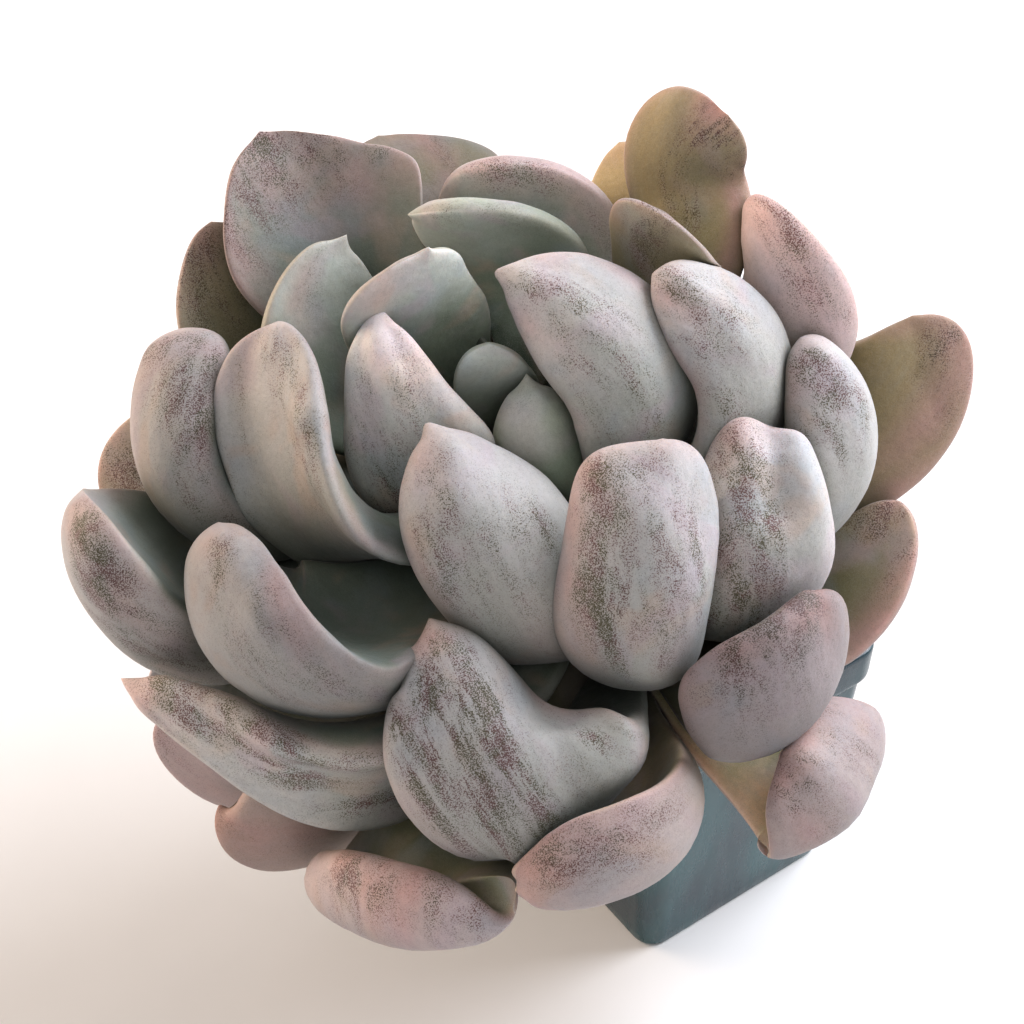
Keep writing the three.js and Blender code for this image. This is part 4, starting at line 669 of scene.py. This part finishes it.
class Tree:
    def __init__(self, name):
        self.mat = bpy.data.materials.new(name)
        self.mat.use_nodes = True
        self.t = self.mat.node_tree
        self.t.nodes.clear()
        self.out = self.t.nodes.new("ShaderNodeOutputMaterial")
        self.bsdf = self.t.nodes.new("ShaderNodeBsdfPrincipled")
        self.t.links.new(self.bsdf.outputs[0], self.out.inputs[0])

    def put(self, sock, v):
        if isinstance(v, bpy.types.NodeSocket):
            self.t.links.new(v, sock)
        else:
            sock.default_value = v

    def attr(self, name, vector=False):
        n = self.t.nodes.new("ShaderNodeAttribute")
        n.attribute_name = name
        return n.outputs["Vector" if vector else "Fac"]

    def coord(self):
        return self.t.nodes.new("ShaderNodeTexCoord").outputs["Object"]

    def scaled(self, vec, s):
        n = self.t.nodes.new("ShaderNodeVectorMath")
        n.operation = "MULTIPLY"
        self.put(n.inputs[0], vec)
        n.inputs[1].default_value = s
        return n.outputs[0]

    def noise(self, vec, scale, detail=3.0, rough=0.55, distort=0.0):
        n = self.t.nodes.new("ShaderNodeTexNoise")
        self.put(n.inputs["Vector"], vec)
        n.inputs["Scale"].default_value = scale
        n.inputs["Detail"].default_value = detail
        n.inputs["Roughness"].default_value = rough
        n.inputs["Distortion"].default_value = distort
        return n.outputs["Fac"]

    def voronoi(self, vec, scale, feature="F1", out="Distance"):
        n = self.t.nodes.new("ShaderNodeTexVoronoi")
        n.feature = feature
        self.put(n.inputs["Vector"], vec)
        n.inputs["Scale"].default_value = scale
        return n.outputs[out]

    def math(self, op, a, b=0.0, c=None, clamp=False):
        n = self.t.nodes.new("ShaderNodeMath")
        n.operation = op
        n.use_clamp = clamp
        self.put(n.inputs[0], a)
        self.put(n.inputs[1], b)
        if c is not None:
            self.put(n.inputs[2], c)
        return n.outputs[0]

    def ramp(self, v, lo, hi, a=0.0, b=1.0, kind="SMOOTHSTEP"):
        n = self.t.nodes.new("ShaderNodeMapRange")
        n.interpolation_type = kind
        self.put(n.inputs["Value"], v)
        self.put(n.inputs["From Min"], lo)
        self.put(n.inputs["From Max"], hi)
        self.put(n.inputs["To Min"], a)
        self.put(n.inputs["To Max"], b)
        return n.outputs["Result"]

    def mix(self, f, a, b, kind="MIX"):
        n = self.t.nodes.new("ShaderNodeMix")
        n.data_type = "RGBA"
        n.blend_type = kind
        self.put(n.inputs[0], f)
        self.put(n.inputs[6], a)
        self.put(n.inputs[7], b)
        return n.outputs[2]

    def bump(self, height, strength, distance, normal=None):
        n = self.t.nodes.new("ShaderNodeBump")
        n.inputs["Strength"].default_value = strength
        n.inputs["Distance"].default_value = distance
        self.put(n.inputs["Height"], height)
        if normal is not None:
            self.put(n.inputs["Normal"], normal)
        return n.outputs[0]


def leaf_material(name, tip_c, mid_c, foot_c, inner_tip, inner_mid, inner_foot, pink_c, painted_glow_c, rub_a, rub_b, painted_shade_c, subsurface=0.20, rough=0.56):
    m = Tree(name)
    pos = m.coord()
    un = m.attr("unrolled", True)
    inner, rub, pink, tan, along, painted_light_shade_and_tone, streaky, deep = (m.attr(k) for k in ("inner", "rub", "pink", "tan", "along", "painted_light_shade_and_tone", "streaky", "deep"))
    cloud = m.noise(un, 110, 2)                                    # broad patches, 9 mm
    patch = m.noise(m.scaled(un, (150, 330, 330)), 1.0, 2, 0.6)    # long soft patches, 3 mm wide
    streak = m.noise(m.scaled(un, (80, 430, 430)), 1.0, 4, 0.68, 0.22)    # lengthwise broken streaks, 2.3 mm wide
    mottle = m.noise(pos, 950, 2, 0.6)                             # 1 mm
    grain = m.noise(pos, 4300, 1.6, 0.62)                          # specks of a quarter millimetre
    fine = m.noise(pos, 8200, 1.0, 0.6)
    # darker and greener towards the foot: partly the leaf's greener base, partly painted shade deep in the rosette
    drift = m.math("ADD", along, m.ramp(cloud, 0.2, 0.8, -0.10, 0.10, "LINEAR"))
    out = m.mix(m.ramp(drift, 0.06, 0.46), foot_c, mid_c)
    out = m.mix(m.ramp(drift, 0.50, 0.95), out, tip_c)
    inn = m.mix(m.ramp(drift, 0.10, 0.50), inner_foot, inner_mid)
    inn = m.mix(m.ramp(drift, 0.58, 0.98), inn, inner_tip)
    col = m.mix(inner, out, inn)
    # cool and warm drifts of the powder
    col = m.mix(m.ramp(m.noise(un, 75, 2), 0.50, 0.68, 0.0, 0.38), col, lin(160, 174, 184))
    col = m.mix(m.ramp(m.noise(un, 88, 2, 0.5, 0.6), 0.53, 0.70, 0.0, 0.38), col, lin(204, 174, 152))
    col = m.mix(m.ramp(m.noise(un, 62, 2, 0.5, 1.1), 0.52, 0.68, 0.0, 0.34), col, lin(196, 172, 184))
    # painted glow: a tan tint standing in for light shining through the leaf from behind
    painted_glow_f = m.math("MULTIPLY", tan, m.ramp(streak, 0.3, 0.7, 0.78, 1.0), clamp=True)
    col = m.mix(painted_glow_f, col, painted_glow_c)
    pink_f = m.math("MULTIPLY", pink, m.ramp(cloud, 0.3, 0.7, 0.55, 1.0), clamp=True)
    col = m.mix(pink_f, col, pink_c)
    # places where the powder is rubbed off: a soft stain with fine specks gathered in it
    soft = m.math("MULTIPLY", m.ramp(patch, 0.34, 0.62, 0.35, 1.2), m.ramp(cloud, 0.3, 0.66, 0.7, 1.15))
    lines = m.ramp(streak, 0.40, 0.60, 0.08, 1.42)
    kind = m.t.nodes.new("ShaderNodeMix")
    kind.data_type = "FLOAT"
    m.put(kind.inputs[0], streaky)
    m.put(kind.inputs[2], soft)
    m.put(kind.inputs[3], lines)
    force = m.math("MULTIPLY", rub, kind.outputs[0])
    rub_c = m.mix(m.ramp(m.noise(un, 230, 2), 0.43, 0.58), rub_a, rub_b)
    col = m.mix(m.math("MULTIPLY", force, 0.46, clamp=True), col, rub_c)
    level = m.ramp(force, 0.0, 1.1, 0.60, 0.42, "LINEAR")
    speck = m.ramp(grain, m.math("SUBTRACT", level, 0.02), m.math("ADD", level, 0.10))
    speck = m.math("MULTIPLY", speck, m.ramp(force, 0.02, 0.55, 0.20, 0.94), clamp=True)
    col = m.mix(speck, col, rub_c)
    # pale powder grains between the specks
    pale = m.math("MULTIPLY", m.ramp(grain, 0.50, 0.36), m.ramp(force, 0.0, 0.8, 0.06, 0.30), clamp=True)
    col = m.mix(pale, col, lin(214, 210, 206))
    col = m.mix(m.ramp(fine, 0.52, 0.70, 0.0, 0.12), col, lin(226, 223, 226))
    # painted shade: where near leaves hide the sky, deep between the leaves, the colour is mixed towards a dark green
    col = m.mix(m.ramp(deep, 0.12, 0.80, 0.0, 0.80), col, painted_shade_c)
    # the colour is scaled by the painted light and shade of each point, with a small random mottle
    light = m.math("MULTIPLY", painted_light_shade_and_tone, m.ramp(mottle, 0.28, 0.72, 0.93, 1.06, "LINEAR"))
    n = m.t.nodes.new("ShaderNodeVectorMath")
    n.operation = "SCALE"
    m.put(n.inputs[0], col)
    m.put(n.inputs["Scale"], light)
    m.put(m.bsdf.inputs["Base Color"], n.outputs[0])
    m.put(m.bsdf.inputs["Roughness"], m.ramp(mottle, 0.3, 0.7, rough - 0.05, rough + 0.09))
    b = m.bump(m.noise(un, 420, 2), 0.22, 0.0006)
    b = m.bump(mottle, 0.22, 0.00025, b)
    b = m.bump(grain, 0.30, 0.00012, b)
    m.put(m.bsdf.inputs["Normal"], b)
    s = m.bsdf.inputs
    s["Subsurface Weight"].default_value = subsurface
    s["Subsurface Radius"].default_value = (1.0, 0.66, 0.42)
    s["Subsurface Scale"].default_value = 0.0016
    s["Specular IOR Level"].default_value = 0.34
    s["Sheen Weight"].default_value = 0.12
    s["Sheen Roughness"].default_value = 0.5
    s["Sheen Tint"].default_value = (0.95, 0.95, 1.0, 1)
    return m.mat


MATS = {
    "leaf_pale": leaf_material("leaf_pale", lin(198, 195, 193), lin(176, 177, 169), lin(112, 124, 108), lin(166, 174, 164), lin(128, 142, 128), lin(44, 54, 38),
                               lin(204, 172, 166), lin(184, 160, 128), lin(76, 70, 42), lin(98, 64, 60), lin(66, 76, 58)),
    "leaf_rose": leaf_material("leaf_rose", lin(198, 184, 184), lin(184, 174, 168), lin(124, 122, 106), lin(158, 158, 132), lin(114, 120, 84), lin(50, 56, 30),
                               lin(206, 162, 154), lin(184, 152, 118), lin(80, 66, 46), lin(102, 64, 58), lin(74, 70, 46)),
    "leaf_olive": leaf_material("leaf_olive", lin(174, 160, 150), lin(158, 150, 130), lin(104, 106, 78), lin(160, 152, 126), lin(122, 122, 88), lin(54, 58, 30),
                                lin(196, 154, 144), lin(168, 148, 104), lin(78, 64, 46), lin(94, 62, 58), lin(66, 68, 38)),
    "leaf_centre": leaf_material("leaf_centre", lin(182, 188, 172), lin(142, 156, 136), lin(86, 104, 82), lin(200, 206, 198), lin(138, 150, 132), lin(44, 58, 40),
                                 lin(200, 176, 164), lin(160, 162, 120), lin(90, 96, 78), lin(100, 92, 82), lin(58, 72, 50)),
}
SLOTS = {"leaf_02": "leaf_centre", "leaf_03": "leaf_centre", "leaf_04": "leaf_olive", "leaf_05": "leaf_centre", "leaf_07": "leaf_olive", "leaf_08": "leaf_centre", "leaf_10": "leaf_olive", "leaf_11": "leaf_centre", "leaf_12": "leaf_olive", "leaf_14": "leaf_olive", "leaf_15": "leaf_centre", "leaf_17": "leaf_olive", "leaf_19": "leaf_rose", "leaf_30": "leaf_rose", "leaf_33": "leaf_olive", "leaf_38": "leaf_rose", "leaf_42": "leaf_rose", "leaf_43": "leaf_rose", "leaf_44": "leaf_olive", "leaf_45": "leaf_rose", "leaf_46": "leaf_rose"}

for row in LEAVES:
    name = row[0]
    slot = SLOTS.get(name, "leaf_pale")
    o = make_leaf(name, leaves[name], MATS[slot])
    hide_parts(name)
    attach(o, "root")


def new_object(name, verts, faces, material, smooth_shade=True):
    mesh = bpy.data.meshes.new(name)
    mesh.from_pydata([tuple(v) for v in verts], [], faces)
    mesh.update()
    if smooth_shade:
        mesh.polygons.foreach_set("use_smooth", [True] * len(mesh.polygons))
    obj = bpy.data.objects.new(name, mesh)
    bpy.context.scene.collection.objects.link(obj)
    mesh.materials.append(material)
    return obj


# ------------------------------------------------------------------ pot
def square_ring(half, corner, z, steps=12, side=6):
    """Points round a square with rounded corners, in mm."""
    pts = []
    corner = min(corner, half - 0.1)
    for q in range(4):
        cx = (half - corner) * (1 if q in (0, 3) else -1)
        cy = (half - corner) * (1 if q in (0, 1) else -1)
        a0 = q * math.pi / 2
        arc = [(cx + corner * math.cos(a0 + math.pi / 2 * i / steps), cy + corner * math.sin(a0 + math.pi / 2 * i / steps)) for i in range(steps + 1)]
        pts += arc
        nq = (q + 1) % 4
        nx = (half - corner) * (1 if nq in (0, 3) else -1)
        ny = (half - corner) * (1 if nq in (0, 1) else -1)
        b0 = nq * math.pi / 2
        nxt = (nx + corner * math.cos(b0), ny + corner * math.sin(b0))
        for i in range(1, side):
            t = i / side
            pts.append((arc[-1][0] * (1 - t) + nxt[0] * t, arc[-1][1] * (1 - t) + nxt[1] * t))
    return [(x, y, z) for x, y in pts]


def loft_rings(rings, centre_first, centre_last):
    n = len(rings[0])
    verts = [p for r in rings for p in r]
    faces = []
    for i in range(len(rings) - 1):
        for k in range(n):
            k2 = (k + 1) % n
            faces.append((i * n + k, i * n + k2, (i + 1) * n + k2, (i + 1) * n + k))
    first = len(verts)
    verts += [centre_first, centre_last]
    for k in range(n):
        k2 = (k + 1) % n
        faces.append((k2, k, first))
        faces.append(((len(rings) - 1) * n + k, (len(rings) - 1) * n + k2, first + 1))
    return verts, faces


BASE, SHOULDER, SHOULDER_Z, LIP, HEIGHT, WALL, FLOOR_T, CORNER = 22.9, 25.65, 52.6, 26.6, 60.5, 1.3, 1.8, 5.5
DRAIN_R, DRAIN_AT = 3.2, 12.5


def wall_half(z):
    return BASE + (SHOULDER - BASE) * z / SHOULDER_Z


profile = [(BASE - 3.2, 0.9), (BASE - 2.6, 0.35), (BASE - 2.0, 0.05), (BASE - 1.2, 0.0), (BASE - 0.45, 0.08), (BASE - 0.12, 0.35), (BASE + 0.02, 0.8)]
for z in (3, 8, 14, 20, 26, 32, 38, 44, 49, 51.2):
    profile.append((wall_half(z), z))
profile += [(wall_half(51.9) + 0.03, 51.95), (wall_half(52.2) + 0.18, 52.3), (SHOULDER + 0.55, 52.55), (SHOULDER + 0.80, 52.75), (LIP - 0.02, 53.1),
            (LIP + 0.03, 53.8), (LIP + 0.08, 55.5), (LIP + 0.14, 57.5), (LIP + 0.2, 59.4), (LIP + 0.16, 60.0), (LIP + 0.0, 60.35), (LIP - 0.28, HEIGHT), (LIP - 0.62, HEIGHT - 0.02),
            (LIP - 0.9, HEIGHT - 0.2), (LIP - 1.08, HEIGHT - 0.6), (LIP - 1.14, 58.5), (LIP - 1.2, 55), (LIP - 1.3, 53.4), (SHOULDER - WALL + 0.1, 52.4), (SHOULDER - WALL, 51.8)]
for z in (48, 40, 32, 24, 16, 8, 4):
    profile.append((wall_half(z) - WALL, z))
profile += [(wall_half(2.6) - WALL - 0.15, 2.6), (wall_half(2) - WALL - 0.7, 2.0), (wall_half(2) - WALL - 1.4, FLOOR_T)]
rings = [[(x * MM, y * MM, z * MM) for x, y, z in square_ring(h, max(1.5, CORNER - max(0, BASE + 2 - h) * 0.45 + max(0, z - 50) * 0.02), z)] for h, z in profile]
verts, faces = loft_rings(rings, (0, 0, 0.9 * MM), (0, 0, FLOOR_T * MM))
m = Tree("pot_plastic")
pos = m.coord()
cloud = m.noise(m.scaled(pos, (60, 60, 26)), 1.0, 3, 0.5)
scuff = m.noise(m.scaled(pos, (260, 260, 40)), 1.0, 4, 0.65)
dust = m.noise(pos, 900, 3, 0.7)
col = m.mix(m.ramp(cloud, 0.3, 0.7), lin(28, 48, 58), lin(34, 84, 88))
col = m.mix(m.ramp(scuff, 0.55, 0.8, 0.0, 0.22), col, lin(72, 102, 102))
col = m.mix(m.ramp(dust, 0.62, 0.78, 0.0, 0.24), col, lin(112, 118, 112))
m.put(m.bsdf.inputs["Base Color"], col)
m.put(m.bsdf.inputs["Roughness"], m.ramp(scuff, 0.3, 0.75, 0.20, 0.38))
m.put(m.bsdf.inputs["Normal"], m.bump(m.noise(pos, 1400, 2), 0.10, 0.0003, m.bump(m.noise(m.scaled(pos, (30, 30, 14)), 1.0, 2), 0.35, 0.002)))
m.bsdf.inputs["Specular IOR Level"].default_value = 0.5
POT_MAT = m.mat
pot = new_object("pot_shell", verts, faces, POT_MAT)
cutters = []
for sx in (-1, 1):
    for sy in (-1, 1):
        bm = bmesh.new()
        bmesh.ops.create_cone(bm, cap_ends=True, segments=40, radius1=DRAIN_R * MM, radius2=DRAIN_R * MM, depth=0.012)
        bmesh.ops.translate(bm, verts=bm.verts, vec=(sx * DRAIN_AT * MM, sy * DRAIN_AT * MM, 0))
        me = bpy.data.meshes.new("drain")
        bm.to_mesh(me)
        bm.free()
        c = bpy.data.objects.new("drain", me)
        bpy.context.scene.collection.objects.link(c)
        cutters.append(c)
for c in cutters:
    mod = pot.modifiers.new("hole", "BOOLEAN")
    mod.operation = "DIFFERENCE"
    mod.object = c
    mod.solver = "EXACT"
dg = bpy.context.evaluated_depsgraph_get()
done = bpy.data.meshes.new_from_object(pot.evaluated_get(dg))
pot.modifiers.clear()
pot.data = done
for c in cutters:
    bpy.data.objects.remove(c)
for poly in pot.data.polygons:
    poly.use_smooth = True
for e in pot.data.edges:
    pass
bm = bmesh.new()
bm.from_mesh(pot.data)
for e in bm.edges:
    if len(e.link_faces) == 2 and e.calc_face_angle(0) > math.radians(40):
        e.smooth = False
bm.to_mesh(pot.data)
bm.free()
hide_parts("pot")
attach(pot, "root")

# ------------------------------------------------------------------ soil
m = Tree("soil")
pos = m.coord()
g1 = m.noise(pos, 700, 5, 0.7)
g2 = m.noise(pos, 2600, 3, 0.7)
col = m.mix(m.ramp(g1, 0.3, 0.7), lin(52, 40, 30), lin(98, 80, 62))
col = m.mix(m.ramp(g2, 0.6, 0.75, 0, 0.6), col, lin(140, 126, 106))
col = m.mix(m.attr("pale"), col, lin(196, 188, 172))
m.put(m.bsdf.inputs["Base Color"], col)
m.put(m.bsdf.inputs["Roughness"], m.ramp(g1, 0.3, 0.7, 0.8, 0.95))
m.put(m.bsdf.inputs["Normal"], m.bump(g1, 0.6, 0.001, m.bump(g2, 0.5, 0.0004)))
SOIL_MAT = m.mat
soil_top = 54.0
rings = []
for f, z in ((0.30, 3.0), (0.9, 2.4)):
    rings.append([(x * MM, y * MM, z * MM) for x, y, z in square_ring((wall_half(z) - WALL - 0.5) * f, 3.6 * f, z)])
for z in (4, 12, 24, 36, 46, 52):
    rings.append([(x * MM, y * MM, z * MM) for x, y, z in square_ring(wall_half(z) - WALL - 0.5, 3.9, z)])
for f in np.linspace(0.985, 0.04, 26):
    ring = []
    for x, y, z in square_ring((wall_half(52.6) - WALL - 0.5) * f, 3.9 * f, soil_top):
        lump = 1.1 * noise.noise((x / 5, y / 5, 3.1)) + 0.6 * noise.noise((x / 1.9, y / 1.9, 7.7))
        edge = smooth((1 - f) / 0.12)
        ring.append((x * MM, y * MM, (z - 0.6 + lump * edge - 0.7 * (1 - edge)) * MM))
    rings.append(ring)
verts, faces = loft_rings(rings, (0, 0, 3.0 * MM), (0, 0, (soil_top - 0.5) * MM))
soil_pale = [0.0] * len(verts)
bm = bmesh.new()
placed = 0
while placed < 420:
    x, y = rng.uniform(-23.2, 23.2, 2)
    if math.hypot(x + 5.7, y + 2.0) < 6.2:
        continue
    size = rng.choice([0.7, 0.9, 1.2, 1.6, 2.1], p=[0.3, 0.3, 0.2, 0.14, 0.06])
    if max(abs(x), abs(y)) + size > 24.0:
        continue
    z = soil_top - 0.6 + 1.1 * noise.noise((x / 5, y / 5, 3.1)) + size * 0.25
    made = bmesh.ops.create_icosphere(bm, subdivisions=2 if size > 1.1 else 1, radius=size * MM)
    shape = rng.uniform(0.65, 1.15, 3)
    turn = Matrix.Rotation(rng.uniform(0, 6.28), 3, "Z") @ Matrix.Rotation(rng.uniform(0, 6.28), 3, "X")
    seed = rng.uniform(0, 50)
    for v in made["verts"]:
        p = Vector((v.co.x * shape[0], v.co.y * shape[1], v.co.z * shape[2]))
        p *= 1 + 0.35 * noise.noise(p * 900 + Vector((seed, 0, 0)))
        p = turn @ p
        v.co = p + Vector((x * MM, y * MM, z * MM))
    placed += 1
grit = bpy.data.meshes.new("grit")
bm.to_mesh(grit)
bm.free()
gv = [tuple(v.co) for v in grit.vertices]
gf = [tuple(p.vertices) for p in grit.polygons]
base = len(verts)
verts = list(verts) + gv
faces = list(faces) + [tuple(i + base for i in f) for f in gf]
soil = new_object("soil_mix", verts, faces, SOIL_MAT)
a = soil.data.attributes.new("pale", "FLOAT", "POINT")
pale = np.zeros(len(verts), np.float32)
# each grain keeps one shade: every fifth is a pale pumice crumb
link = {}
parent = list(range(len(gv)))


def root_of(i):
    while parent[i] != i:
        parent[i] = parent[parent[i]]
        i = parent[i]
    return i


for f in gf:
    r = root_of(f[0])
    for i in f[1:]:
        parent[root_of(i)] = r
shade = {}
for i in range(len(gv)):
    r = root_of(i)
    if r not in shade:
        shade[r] = 0.85 if rng.rand() < 0.22 else 0.0
    pale[base + i] = shade[r]
a.data.foreach_set("value", pale)
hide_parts("soil")
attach(soil, "root")

# ------------------------------------------------------------------ stem
m = Tree("stem_bark")
pos = m.coord()
g1 = m.noise(pos, 500, 4, 0.65)
col = m.mix(m.ramp(g1, 0.3, 0.7), lin(92, 82, 58), lin(140, 124, 92))
col = m.mix(m.ramp(m.noise(pos, 1500, 3, 0.7), 0.55, 0.75, 0, 0.5), col, lin(70, 56, 40))
m.put(m.bsdf.inputs["Base Color"], col)
m.put(m.bsdf.inputs["Roughness"], m.ramp(g1, 0.3, 0.7, 0.7, 0.88))
m.put(m.bsdf.inputs["Normal"], m.bump(g1, 0.5, 0.0008))
STEM_MAT = m.mat
side1 = np.cross(AXIS, [0, 0, 1.0])
side1 /= np.linalg.norm(side1)
side2 = np.cross(AXIS, side1)
stem_len = np.linalg.norm(CROWN - FOOT) / MM
rings = []
for i in range(60):
    s = -8.0 + (stem_len - 4 + 8.0) * i / 59
    f = (s + 8) / (stem_len + 4)
    rad = 5.0 + (1.9 - 5.0) * f
    ring = []
    for k in range(40):
        ang = 2 * math.pi * k / 40
        scar = 0.28 * math.sin(s * 1.35 + 2.4 * math.sin(ang * 2)) + 0.3 * noise.noise((s / 3, math.cos(ang) * 2, math.sin(ang) * 2))
        ring.append(tuple(FOOT + AXIS * s * MM + (side1 * math.cos(ang) + side2 * math.sin(ang)) * (rad + scar) * MM))
    rings.append(ring)
verts, faces = loft_rings(rings, tuple(FOOT - AXIS * 8.0 * MM), tuple(FOOT + AXIS * (stem_len - 3.4) * MM))
stem = new_object("stem_bark", verts, faces, STEM_MAT)
bm = bmesh.new()
bm.from_mesh(stem.data)
bmesh.ops.recalc_face_normals(bm, faces=bm.faces)
bm.to_mesh(stem.data)
bm.free()
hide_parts("stem")
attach(stem, "root")

# ------------------------------------------------------------------ floor and light
m = Tree("floor_paper")
pos = m.coord()
col = m.mix(m.ramp(m.noise(pos, 14, 4), 0.3, 0.7), lin(238, 237, 235), lin(243, 242, 240))
m.put(m.bsdf.inputs["Base Color"], col)
m.put(m.bsdf.inputs["Roughness"], m.ramp(m.noise(pos, 300, 3), 0.3, 0.7, 0.82, 0.92))
m.bsdf.inputs["Specular IOR Level"].default_value = 0.2
floor = new_object("floor", [(-4, -4, 0), (4, -4, 0), (4, 4, 0), (-4, 4, 0)], [(0, 1, 2, 3)], m.mat, False)

world = bpy.data.worlds.new("studio")
bpy.context.scene.world = world
world.use_nodes = True
bg = world.node_tree.nodes["Background"]
bg.inputs[0].default_value = (0.965, 0.965, 1.0, 1)
bg.inputs[1].default_value = 0.40


def softbox(name, at, aim, size, watts, colour):
    data = bpy.data.lights.new(name, "AREA")
    data.shape = "RECTANGLE"
    data.size, data.size_y = size
    data.energy = watts
    data.color = colour
    o = bpy.data.objects.new(name, data)
    bpy.context.scene.collection.objects.link(o)
    o.location = turned(*at)
    d = turned(*aim) - o.location
    o.rotation_euler = d.to_track_quat("-Z", "Y").to_euler()
    return o


softbox("key_top", (0.68, 0.34, 0.74), (0, 0, 0.08), (0.74, 0.74), 17.0, (0.91, 0.925, 1.0))
softbox("side_left", (-0.85, 0.28, 0.36), (0, 0, 0.08), (0.5, 0.5), 7.6, (1.0, 0.765, 0.575))
softbox("front", (0.10, -0.75, 0.75), (0, 0, 0.08), (0.6, 0.5), 0.8, (1.0, 0.98, 0.97))

bpy.context.scene.view_settings.view_transform = "Standard"
bpy.context.scene.view_settings.look = "None"
bpy.context.scene.view_settings.exposure = 0.0
bpy.context.scene.view_settings.gamma = 1.0
